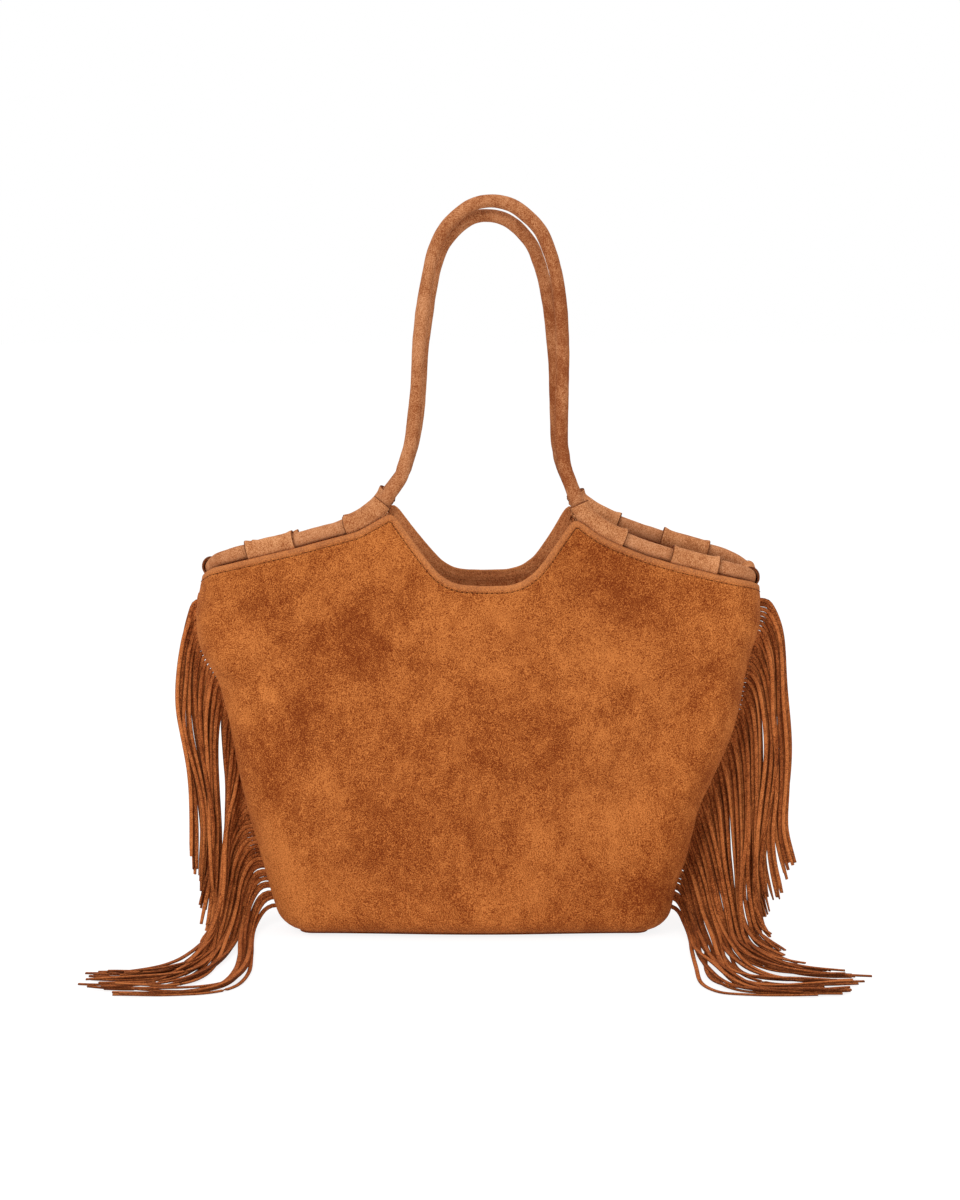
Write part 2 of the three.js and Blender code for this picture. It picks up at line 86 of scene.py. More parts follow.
def smoothstep(value: Array | float, start: float, end: float) -> Array:
    """A share from 0 to 1 that eases in and out.

    Args:
        value: Where to read it.
        start: The value at which it leaves 0.
        end: The value at which it reaches 1.

    Returns:
        The share at each value.
    """
    share = np.clip((np.asarray(value, float) - start) / (end - start), 0.0, 1.0)
    return share * share * (3.0 - 2.0 * share)


def unit(vectors: Array) -> Array:
    """Vectors brought to length one."""
    length = np.linalg.norm(vectors, axis=-1, keepdims=True)
    return vectors / np.maximum(length, 1e-9)


@dataclass(frozen=True)
class Profile:
    """A value read along a line of knots, softened so that no corner shows."""

    knots: tuple[tuple[float, float], ...]
    softness: float = 6.0
    step: float = 0.5

    def __call__(self, at: Array | float) -> Array:
        """The value at each place.

        Args:
            at: Places along the line.

        Returns:
            The softened values there.
        """
        places, values = np.array(sorted(self.knots)).T
        margin = KNOT_MARGIN * self.softness
        grid = np.arange(places[0] - margin, places[-1] + margin, self.step)
        slope_in = (values[1] - values[0]) / (places[1] - places[0])
        slope_out = (values[-1] - values[-2]) / (places[-1] - places[-2])
        raw = np.interp(grid, places, values)
        raw = np.where(grid < places[0], values[0] + slope_in * (grid - places[0]), raw)
        raw = np.where(grid > places[-1], values[-1] + slope_out * (grid - places[-1]), raw)
        reach = int(BELL_REACH * self.softness / self.step)
        kernel = np.exp(-0.5 * (np.arange(-reach, reach + 1) * self.step / self.softness) ** 2)
        kernel /= kernel.sum()
        soft = np.convolve(np.pad(raw, reach, mode="edge"), kernel, mode="valid")
        return np.interp(at, grid, soft)


@dataclass(frozen=True)
class Ripple:
    """Soft random unevenness, made of many waves that run in all directions."""

    seed: int
    wavelength: float
    height: float
    waves: int = 28
    spread: tuple[float, float] = (0.65, 1.7)

    def at(self, points: Array) -> Array:
        """The unevenness at points.

        Args:
            points: Places, with their coordinates last.

        Returns:
            One height for each point.
        """
        draw = np.random.default_rng(self.seed)
        way = unit(draw.normal(size=(self.waves, points.shape[-1])))
        number = 2 * math.pi / (self.wavelength * draw.uniform(*self.spread, self.waves))
        phase = draw.uniform(0, 2 * math.pi, self.waves)
        wave = np.cos(points @ (way * number[:, None]).T + phase)
        return self.height * math.sqrt(2 / self.waves) * wave.sum(-1)


@dataclass(frozen=True)
class Fold:
    """One long soft fold, or one patch of painted light and shade over a fold; below zero it is a hollow or a
    patch of painted shade.
    """

    x: float
    z: float
    length: float
    width: float
    angle: float
    height: float

    def at(self, x: Array, z: Array) -> Array:
        """How far the cloth stands out.

        Args:
            x: Places along the bag, or cloth distances from its middle.
            z: Heights.

        Returns:
            The fold's height there.
        """
        turn = math.radians(self.angle)
        along = (x - self.x) * math.cos(turn) + (z - self.z) * math.sin(turn)
        across = (z - self.z) * math.cos(turn) - (x - self.x) * math.sin(turn)
        return self.height * np.exp(-((along / self.length) ** 2) - (across / self.width) ** 2)


def grid_normals(points: Array) -> Array:
    """Normals of a grid of points.

    Args:
        points: Rows by columns by three.

    Returns:
        Unit normals of the same shape, on the side that column direction cross row direction gives.
    """
    along = np.gradient(points, axis=1)
    up = np.gradient(points, axis=0)
    return unit(np.cross(along, up))


def spline(points: Array, count: int) -> Array:
    """A smooth way through points, at even distances.

    Args:
        points: The points to pass.
        count: How many points come back.

    Returns:
        Points on a Catmull-Rom curve, evenly spaced by length.
    """
    padded = np.vstack([2 * points[0] - points[1], points, 2 * points[-1] - points[-2]])
    shares = np.linspace(0, 1, SPLINE_STEPS, endpoint=False)[:, None]
    pieces = []
    for a, b, c, d in zip(padded, padded[1:], padded[2:], padded[3:]):
        pieces.append(0.5 * (2 * b + (c - a) * shares + (2 * a - 5 * b + 4 * c - d) * shares**2
                             + (3 * b - a - 3 * c + d) * shares**3))
    fine = np.vstack([*pieces, points[-1:]])
    return even(fine, count)


def even(points: Array, count: int, length: float | None = None) -> Array:
    """The same way with evenly spaced points.

    Args:
        points: Points of a way; columns past the third are carried along.
        count: How many points come back.
        length: Where to cut it, or None for all of it.

    Returns:
        Evenly spaced points.
    """
    walked = np.concatenate([[0], np.cumsum(np.linalg.norm(np.diff(points[:, :3], axis=0), axis=1))])
    stops = np.linspace(0, walked[-1] if length is None else length, count)
    return np.stack([np.interp(stops, walked, column) for column in points.T], axis=1)


# Meshes


@dataclass
class MeshParts:
    """Corners, faces and what goes with them, gathered for one mesh."""

    corners: list[Array] = field(default_factory=list)
    faces: list[Polygon] = field(default_factory=list)
    finishes: list[int] = field(default_factory=list)
    places: list[Array] = field(default_factory=list)
    count: int = 0

    def add(self, corners: Array, faces: list[Polygon], finish: int | list[int],
            places: Array) -> None:
        """Adds one closed body.

        Args:
            corners: Its points in millimetres.
            faces: Its faces, by its own corners.
            finish: One finish number for it, or one for each face.
            places: Where each corner lies on the cloth, in metres.
        """
        self.corners.append(corners)
        self.faces += [tuple(i + self.count for i in face) for face in faces]
        self.finishes += [finish] * len(faces) if isinstance(finish, int) else finish
        self.places.append(places)
        self.count += len(corners)

    def build(self, name: str) -> bpy.types.Object:
        """Makes the object.

        Args:
            name: The piece's name.

        Returns:
            The object, smooth shaded, with its cloth places as a UV map.
        """
        mesh = bpy.data.meshes.new(name)
        mesh.from_pydata((np.vstack(self.corners) * MM).tolist(), [], self.faces)
        mesh.polygons.foreach_set("material_index", self.finishes)
        mesh.polygons.foreach_set("use_smooth", [True] * len(self.faces))
        cloth = mesh.uv_layers.new(name="cloth")
        corner_of_loop = np.empty(len(mesh.loops), np.int32)
        mesh.loops.foreach_get("vertex_index", corner_of_loop)
        cloth.data.foreach_set("uv", np.vstack(self.places)[corner_of_loop].astype(np.float32).ravel())
        mesh.update()
        piece = bpy.data.objects.new(name, mesh)
        bpy.context.scene.collection.objects.link(piece)
        return piece


def edge_loop(number: Array) -> tuple[Array, Array]:
    """The corners round a grid's edge.

    Args:
        number: The grid's corner numbers, rows by columns.

    Returns:
        The corners in turn, and the corner next to each of them further in.
    """
    rows, columns = number.shape
    loop = np.concatenate([number[0, :-1], number[:-1, -1], number[-1, :0:-1], number[:0:-1, 0]])
    inward = np.concatenate([number[1, :-1], number[:-1, -2], number[-2, :0:-1], number[:0:-1, 1]])
    inward[0] = number[1, 1]
    inward[columns - 1] = number[1, -2]
    inward[columns + rows - 2] = number[-2, -2]
    inward[2 * columns + rows - 3] = number[-2, 1]
    return loop, inward


def sheet_parts(outer: Array, thickness: Array, places: Array, lining: Array | None = None,
                rim_finish: int = 0,
                rim_steps: int = 3) -> tuple[Array, list[Polygon], list[int], Array]:
    """A closed sheet with a rounded rim from its outer face.

    Args:
        outer: Rows by columns of points on the outer face, which faces the grid's normals.
        thickness: Thickness at each point.
        places: Where each point lies on the cloth, in metres.
        lining: The finish number of the inner face at each point; 0 everywhere if None.
        rim_finish: The finish number of the cut edge.
        rim_steps: Points between the two faces round the rim.

    Returns:
        Corners, faces, finish numbers and cloth places.
    """
    rows, columns = outer.shape[:2]
    normal = grid_normals(outer)
    inner = outer - normal * thickness[..., None]
    number = np.arange(rows * columns).reshape(rows, columns)
    below, right = number[:-1, :-1], number[:-1, 1:]
    above, corner = number[1:, :-1], number[1:, 1:]
    faces = np.stack([below, right, corner, above], axis=-1).reshape(-1, 4)
    back = faces[:, ::-1] + rows * columns
    inner_finish = np.zeros((rows, columns), int) if lining is None else lining
    back_finish = inner_finish[:-1, :-1].reshape(-1)
    loop, inward = edge_loop(number)
    flat, flat_inner = outer.reshape(-1, 3), inner.reshape(-1, 3)
    middle = (flat[loop] + flat_inner[loop]) / 2
    half = (flat[loop] - flat_inner[loop]) / 2
    away = flat[loop] - flat[inward]
    away -= half * (np.sum(away * half, axis=1) / np.maximum(np.sum(half * half, axis=1), 1e-9))[:, None]
    away = unit(away) * np.linalg.norm(half, axis=1)[:, None]
    rings = [loop]
    corners, flat_places = [flat, flat_inner], places.reshape(-1, 2)
    cloth = [flat_places, flat_places]
    total = 2 * rows * columns
    for step in range(1, rim_steps + 1):
        turn = math.pi * step / (rim_steps + 1)
        corners.append(middle + half * math.cos(turn) + away * math.sin(turn))
        cloth.append(flat_places[loop])
        rings.append(np.arange(total, total + len(loop)))
        total += len(loop)
    rings.append(loop + rows * columns)
    rim = []
    for upper, lower in zip(rings, rings[1:]):
        rim.append(np.stack([upper, lower, np.roll(lower, -1), np.roll(upper, -1)], axis=-1))
    rim_faces = np.concatenate(rim)
    all_faces = np.concatenate([faces, back, rim_faces])
    finishes = [0] * len(faces) + back_finish.tolist() + [rim_finish] * len(rim_faces)
    return np.vstack(corners), [tuple(f) for f in all_faces.tolist()], finishes, np.vstack(cloth)


# Finishes


@dataclass(frozen=True)
class Signal:
    """A socket in a material, on which sums can be written."""

    shader: "Shader"
    socket: bpy.types.NodeSocket

    def _math(self, operation: str, first: "Signal | float", second: "Signal | float") -> "Signal":
        """One Math node."""
        return self.shader.signal("ShaderNodeMath", {"operation": operation}, {0: first, 1: second})

    def __add__(self, other: "Signal | float") -> "Signal":
        """Sum."""
        return self._math("ADD", self, other)

    __radd__ = __add__

    def __sub__(self, other: "Signal | float") -> "Signal":
        """Difference."""
        return self._math("SUBTRACT", self, other)

    def __rsub__(self, other: "Signal | float") -> "Signal":
        """Difference from a number."""
        return self._math("SUBTRACT", other, self)

    def __mul__(self, other: "Signal | float") -> "Signal":
        """Product."""
        return self._math("MULTIPLY", self, other)

    __rmul__ = __mul__

    def __truediv__(self, other: "Signal | float") -> "Signal":
        """Quotient."""
        return self._math("DIVIDE", self, other)

    def between(self, low: float, high: float) -> "Signal":
        """A share from 0 at low to 1 at high, eased and kept within those.

        Args:
            low: The value at which it is 0.
            high: The value at which it is 1.

        Returns:
            The share.
        """
        settings = {"interpolation_type": "SMOOTHSTEP"}
        inputs = {"Value": self, "From Min": low, "From Max": high}
        return self.shader.signal("ShaderNodeMapRange", settings, inputs)

    def share(self, low: float, high: float) -> "Signal":
        """A share from 0 at low to 1 at high, in proportion and kept within those."""
        inputs = {"Value": self, "From Min": low, "From Max": high}
        return self.shader.signal("ShaderNodeMapRange", None, inputs)

    def absolute(self) -> "Signal":
        """Size without sign."""
        return self.shader.signal("ShaderNodeMath", {"operation": "ABSOLUTE"}, {0: self})

    def floor(self) -> "Signal":
        """The whole number below."""
        return self.shader.signal("ShaderNodeMath", {"operation": "FLOOR"}, {0: self})

    def cosine(self) -> "Signal":
        """Cosine of an angle in radians."""
        return self.shader.signal("ShaderNodeMath", {"operation": "COSINE"}, {0: self})

    def fading(self) -> "Signal":
        """One at zero, falling towards nothing as the value grows."""
        return self._math("POWER", math.exp(-1), self)


@dataclass(frozen=True)
class Pattern:
    """A kind of cloudy noise: its octaves, how its patches are pulled about, its stretch and its slant."""

    detail: float
    roughness: float = 0.5
    distortion: float = 0.0
    stretch: tuple[float, float, float] = (1.0, 1.0, 1.0)
    turn: float = 0.0


CLOUDS = Pattern(5.0, 0.82, 0.35, (1.0, 1.0, 0.9), 25.0)
STROKES = Pattern(3.0, 0.7, 0.8, (1.0, 1.0, 0.6), -35.0)
SPECKLE = Pattern(2.0, 0.8)
PILE = Pattern(1.0, 0.8)
TWIST = Pattern(2.0, turn=45.0)


class Shader:
    """One material and its nodes."""

    def __init__(self, name: str) -> None:
        """Starts an empty material with a Principled shader.

        Args:
            name: The material's name.
        """
        self.material = bpy.data.materials.new(name)
        self.material.use_nodes = True
        self.tree = self.material.node_tree
        self.surface = self.tree.nodes["Principled BSDF"]

    def node(self, kind: str, settings: dict[str, object] | None = None,
             inputs: dict[str | int, object] | None = None) -> bpy.types.Node:
        """Adds a node.

        Args:
            kind: The node's type.
            settings: Its own settings, set first.
            inputs: Values or signals for its sockets, by name or number.

        Returns:
            The node.
        """
        made = self.tree.nodes.new(kind)
        for key, value in (settings or {}).items():
            setattr(made, key, value)
        for key, value in (inputs or {}).items():
            if isinstance(value, Signal):
                self.tree.links.new(value.socket, made.inputs[key])
            else:
                made.inputs[key].default_value = value
        return made

    def signal(self, kind: str, settings: dict[str, object] | None = None,
               inputs: dict[str | int, object] | None = None, output: str | int = 0) -> Signal:
        """Adds a node and gives one of its outputs.

        Args:
            kind: The node's type.
            settings: Its own settings.
            inputs: Values or signals for its sockets.
            output: The output's name or number.

        Returns:
            The output as a signal.
        """
        return Signal(self, self.node(kind, settings, inputs).outputs[output])

    def place(self) -> Signal:
        """Object coordinates, in metres."""
        return self.signal("ShaderNodeTexCoord", output="Object")

    def noise(self, pattern: Pattern, scale: float) -> Signal:
        """Cloudy noise.

        Args:
            pattern: Its kind.
            scale: Patches to the metre.

        Returns:
            The noise, about 0.5.
        """
        slant = (0, math.radians(pattern.turn), 0)
        turned = {"Vector": self.place(), "Rotation": slant, "Scale": pattern.stretch}
        inputs = {"Vector": self.signal("ShaderNodeMapping", None, turned), "Scale": scale,
                  "Detail": pattern.detail, "Roughness": pattern.roughness,
                  "Distortion": pattern.distortion}
        return self.signal("ShaderNodeTexNoise", None, inputs)

    def axes(self, vector: Signal) -> tuple[Signal, Signal, Signal]:
        """The three parts of a vector.

        Args:
            vector: A place or a direction.

        Returns:
            Its x, y and z.
        """
        split = self.node("ShaderNodeSeparateXYZ", None, {0: vector})
        x, y, z = (Signal(self, output) for output in split.outputs)
        return x, y, z

    def cloth(self) -> tuple[Signal, Signal]:
        """Where the surface lies on its own cloth, along and down."""
        along, down, _ = self.axes(self.signal("ShaderNodeUVMap", {"uv_map": "cloth"}))
        return along, down

    def blend(self, first: Colour | Signal, second: Colour | Signal, share: Signal | float) -> Signal:
        """Mixes two colours.

        Args:
            first: The colour at share 0.
            second: The colour at share 1.
            share: How much of the second.

        Returns:
            The mixed colour.
        """
        settings = {"data_type": "RGBA", "blend_type": "MIX"}
        inputs: dict[str | int, object] = {0: share}
        for socket, colour in ((6, first), (7, second)):
            inputs[socket] = colour if isinstance(colour, Signal) else (*colour, 1.0)
        return self.signal("ShaderNodeMix", settings, inputs, output=2)

    def set(self, **values: float | tuple[float, ...]) -> None:
        """Sets constants on the surface, named like its sockets with an underscore for each space."""
        for name, value in values.items():
            self.surface.inputs[name.replace("_", " ")].default_value = value

    def finish(self, colour: Signal, height: Signal, depth: float) -> bpy.types.Material:
        """Links colour and relief to the surface.

        Args:
            colour: Base colour.
            height: Relief, about 0 to 1.
            depth: What 1 of it stands for in metres.

        Returns:
            The material.
        """
        self.tree.links.new(colour.socket, self.surface.inputs["Base Color"])
        relief = self.signal("ShaderNodeBump", None, {"Strength": 1.0, "Distance": depth, "Height": height})
        self.tree.links.new(relief.socket, self.surface.inputs["Normal"])
        return self.material


@dataclass(frozen=True)
class Suede:
    """Brushed suede: patches of pile laid either way, short strokes, a fine grain, and painted light and
    shade over its folds.
    """

    name: str
    dark: Colour
    middle: Colour
    light: Colour
    patch_scale: float = 12.0
    patches: float = 2.35
    strokes: float = 1.0
    grain: float = 1.4
    stroke_fineness: float = 7.0
    speckle_scale: float = 380.0
    pile_scale: float = 1250.0
    speckle_weight: float = 0.2
    pile_weight: float = 3.0
    full_dark: float = -0.1
    full_light: float = 1.15
    grain_depth: float = 0.00035
    roughness: float = 0.92
    gloss: float = 0.2
    sheen: float = 0.10
    sheen_roughness: float = 0.45
    # Patches of painted light and shade over the folds, their strength, and the fray of their outline.
    painted_folds: tuple[Fold, ...] = ()
    painted_fold_strength: float = 1.2
    painted_fold_fray: float = 4.0
    seam_holes: bool = False
    hole_pitch: float = 3.8
    hole_distance: float = 4.0
    hole_core: float = 0.4
    hole_reach: float = 0.9
    hole_depth: float = 0.12
    hole_share: float = 0.9
    hole: Colour = (0.22, 0.06, 0.014)
    worn_from: float = 0.2
    worn_past_holes: float = 1.0
    worn_share: float = 0.4
    worn: Colour = (0.60, 0.25, 0.10)

    def nap_and_painted_shading(self, shader: Shader) -> tuple[Signal, Signal]:
        """Where the pile lies light or dark, with painted light and shade over the folds, and its relief.

        Args:
            shader: The material being made.

        Returns:
            Pile tone with painted fold light and shade, 0 dark to 1 light with the grain on top, and the
            relief of the grain.
        """
        cloud = shader.noise(CLOUDS, self.patch_scale)
        stroke = shader.noise(STROKES, self.patch_scale * self.stroke_fineness)
        speckle = shader.noise(SPECKLE, self.speckle_scale)
        pile = shader.noise(PILE, self.pile_scale)
        lie_and_painted_shading = (cloud - 0.5) * self.patches + (stroke - 0.5) * self.strokes + 0.5
        # Painted light and shade: each patch lightens or darkens the colour over a fold or along a side
        # turning from the light.
        for mark in self.painted_folds:
            lie_and_painted_shading = lie_and_painted_shading + self.painted_fold_shading(shader, cloud, mark)
        grain = (speckle - 0.5) * self.speckle_weight + (pile - 0.5) * self.pile_weight
        return lie_and_painted_shading.share(0.0, 1.0) + grain * self.grain, pile * 0.6 + speckle * 0.4

    def painted_fold_shading(self, shader: Shader, cloud: Signal, mark: Fold) -> Signal:
        """One long patch of painted light or shade: lighter where a fold catches the light, darker where it
        lies in shade.

        Args:
            shader: The material being made.
            cloud: Noise that frays the patch's outline.
            mark: Place, size, slant and strength of the patch of painted light or shade.

        Returns:
            How much lighter or darker it is.
        """
        x, _, z = shader.axes(shader.place())
        x, z = x * (1 / MM) - mark.x, z * (1 / MM) - mark.z
        cosine, sine = math.cos(math.radians(mark.angle)), math.sin(math.radians(mark.angle))
        along = (x * cosine + z * sine) / mark.length
        across = (z * cosine - x * sine) / mark.width
        distance = along * along + across * across + (cloud - 0.5) * self.painted_fold_fray
        return distance.fading() * (mark.height * self.painted_fold_strength)

    def colour(self, shader: Shader, nap_and_painted_shading: Signal) -> Signal:
        """The suede's colour.

        Args:
            shader: The material being made.
            nap_and_painted_shading: Where the pile lies light or dark, with any painted light and shade over
                the folds.

        Returns:
            The colour.
        """
        lower = shader.blend(self.dark, self.middle, nap_and_painted_shading.share(self.full_dark, 0.5))
        return shader.blend(lower, self.light, nap_and_painted_shading.share(0.5, self.full_light))

    def hem(self, shader: Shader, colour: Signal) -> tuple[Signal, Signal]:
        """The hem's worn edge and its needle holes, from the cloth's own places.

        Args:
            shader: The material being made.
            colour: The suede's colour.

        Returns:
            The colour with both, and where the holes are.
        """
        along, down = shader.cloth()
        beat = (along * (2 * math.pi / (self.hole_pitch * MM))).cosine()
        line = (down - self.hole_distance * MM).absolute()
        away = line.between(self.hole_core * MM, self.hole_reach * MM)
        hole = beat.between(0.55, 0.95) * (1.0 - away)
        worn_end = (self.hole_distance + self.worn_past_holes) * MM
        edge = 1.0 - down.between(self.worn_from * MM, worn_end)
        worn = shader.blend(colour, self.worn, edge * self.worn_share)
        return shader.blend(worn, self.hole, hole * self.hole_share), hole

    def material(self) -> bpy.types.Material:
        """Makes the material.

        Returns:
            The finished material.
        """
        shader = Shader(self.name)
        nap_and_painted_shading, grain = self.nap_and_painted_shading(shader)
        colour = self.colour(shader, nap_and_painted_shading)
        relief = grain
        if self.seam_holes:
            colour, hole = self.hem(shader, colour)
            relief = grain - hole * self.hole_depth
        shader.set(Roughness=self.roughness, Specular_IOR_Level=self.gloss, Sheen_Weight=self.sheen,
                   Sheen_Roughness=self.sheen_roughness, Sheen_Tint=(*self.light, 1.0))
        return shader.finish(colour, relief, self.grain_depth)


@dataclass(frozen=True)
class StrandSuede(Suede):
    """Suede cut in strands: each strand has its own tone, and painted shade darkens its edges for the slits
    between strands.
    """

    shade_spread: float = 0.7
    slit_shade_from: float = 0.34
    slit_shade_full: float = 0.48
    slit_shade_darkness: float = 0.4
    slit_shade_share: float = 0.75

    def colour(self, shader: Shader, nap_and_painted_shading: Signal) -> Signal:
        """The strands' colour.

        Args:
            shader: The material being made.
            nap_and_painted_shading: Where the pile lies light or dark, with any painted light and shade over
                the folds.

        Returns:
            The colour.
        """
        across, _ = shader.cloth()
        strand = across.floor()
        shade = shader.signal("ShaderNodeTexWhiteNoise", {"noise_dimensions": "1D"}, {"W": strand})
        # Painted shade: each strand's edges darken to stand in for the shadow in the slits between strands.
        edge = ((across - strand) - 0.5).absolute().between(self.slit_shade_from, self.slit_shade_full)
        base = super().colour(shader, nap_and_painted_shading + (shade - 0.5) * self.shade_spread)
        return shader.blend(base, tuple(c * self.slit_shade_darkness for c in self.dark), edge * self.slit_shade_share)


@dataclass(frozen=True)
class Thread:
    """Dull sewing thread with its twist, and painted shade in the twist's furrows."""

    name: str
    colour: Colour
    furrow_painted_shade: float = 0.7
    twist_scale: float = 1600.0
    twist_depth: float = 0.0001

    def material(self) -> bpy.types.Material:
        """Makes the material.

        Returns:
            The finished material.
        """
        shader = Shader(self.name)
        twist = shader.noise(TWIST, self.twist_scale)
        # Painted shade: the colour darkens where the twist's relief is low.
        furrow_painted_shade = tuple(c * self.furrow_painted_shade for c in self.colour)
        colour = shader.blend(furrow_painted_shade, self.colour, twist.between(0.35, 0.65))
        shader.set(Roughness=0.85, Specular_IOR_Level=0.1)
        return shader.finish(colour, twist, self.twist_depth)


# Patches of painted light and shade on the front suede, over its folds and along the right side that turns
# from the light; above zero painted highlight, below zero painted shade.
FRONT_PAINTED_FOLDS = (
    Fold(-160, 69, 46, 13, 108, 0.40),
    Fold(-139, 177, 42, 30, 60, -0.17),
    Fold(-87, 245, 32, 20, 20, -0.15),
    Fold(-8, 261, 30, 18, 10, 0.24),
    Fold(-185, 268, 34, 11, 5, -0.18),
    Fold(-192, 238, 22, 9, 40, 0.18),
    Fold(118, 273, 36, 14, -50, -0.20),
    Fold(110, 230, 34, 16, -30, 0.20),
    Fold(123, 99, 34, 14, 80, 0.24),
    Fold(181, 149, 62, 13, 62, -0.30),
    Fold(144, 193, 42, 12, -55, 0.14),
    Fold(-16, 165, 60, 22, 15, -0.09),
    Fold(24, 226, 44, 20, 80, 0.09),
    Fold(-118, 248, 50, 26, 10, -0.14),
    Fold(-184, 146, 50, 16, 100, -0.14),
    Fold(-131, 34, 46, 24, 10, 0.22),
    Fold(131, 36, 50, 24, -10, -0.22),
)
# Patches of painted light and shade on the back suede, over its folds; above zero painted highlight, below
# zero painted shade.
BACK_PAINTED_FOLDS = (
    Fold(150, 80, 50, 15, 70, 0.34),
    Fold(110, 200, 50, 26, 30, -0.16),
    Fold(20, 240, 36, 20, -10, 0.20),
    Fold(-130, 235, 50, 15, 40, -0.20),
    Fold(-110, 120, 60, 18, 100, 0.18),
    Fold(30, 110, 70, 28, 20, -0.12),
)
# Patches of painted light and shade on the strap: painted shade down the right handle's leg, painted
# highlight on both shoulders.
STRAP_PAINTED_FOLDS = (
    Fold(66, 425, 120, 24, 90, -0.30),
    Fold(-148, 320, 95, 26, 20, 0.26),
    Fold(150, 316, 95, 26, -20, 0.22),
)
FRONT_SUEDE = Suede("front_suede", (0.18, 0.028, 0.001), (0.393, 0.103, 0.017), (0.655, 0.215, 0.05),
                    painted_folds=FRONT_PAINTED_FOLDS, seam_holes=True)
BACK_SUEDE = replace(FRONT_SUEDE, name="back_suede", painted_folds=BACK_PAINTED_FOLDS)
INSIDE_SUEDE = Suede("inside_suede", (0.23, 0.05, 0.011), (0.46, 0.136, 0.038), (0.64, 0.22, 0.075),
                     sheen=0.05)
# Inside of the turned-in hem: the turned hem is real, and its colour is painted lighter than the wall below
# as painted light on the upper band.
INSIDE_HEM_PAINTED_LIGHT = Suede("inside_hem_suede", (0.31, 0.08, 0.02), (0.55, 0.185, 0.06), (0.72, 0.29, 0.11))
STRAP_SUEDE = Suede("strap_suede", (0.24, 0.055, 0.012), (0.45, 0.165, 0.059), (0.66, 0.30, 0.14),
                    patch_scale=24.0, patches=2.0, grain=0.95, painted_folds=STRAP_PAINTED_FOLDS)
FRINGE_SUEDE = StrandSuede("fringe_suede", (0.14, 0.028, 0.004), (0.41, 0.107, 0.024), (0.67, 0.215, 0.059),
                           patch_scale=24.0, patches=1.8, grain=1.2)
TAB_SUEDE = Suede("tab_suede", (0.28, 0.07, 0.0165), (0.535, 0.21, 0.077), (0.76, 0.355, 0.165),
                  patch_scale=20.0, patches=2.0, grain=0.95)
# Dark finish of the tabs' rim: painted shade that stands in for the thin shadow lines at the tab ends.
TAB_RIM_PAINTED_SHADE = Suede("cut_suede", (0.10, 0.027, 0.008), (0.17, 0.048, 0.014), (0.25, 0.08, 0.025), sheen=0.0)
BASE_SUEDE = Suede("base_suede", (0.21, 0.047, 0.010), (0.33, 0.09, 0.024), (0.42, 0.135, 0.042))
SEWING_THREAD = Thread("sewing_thread", (0.095, 0.026, 0.006))


# The bag's form


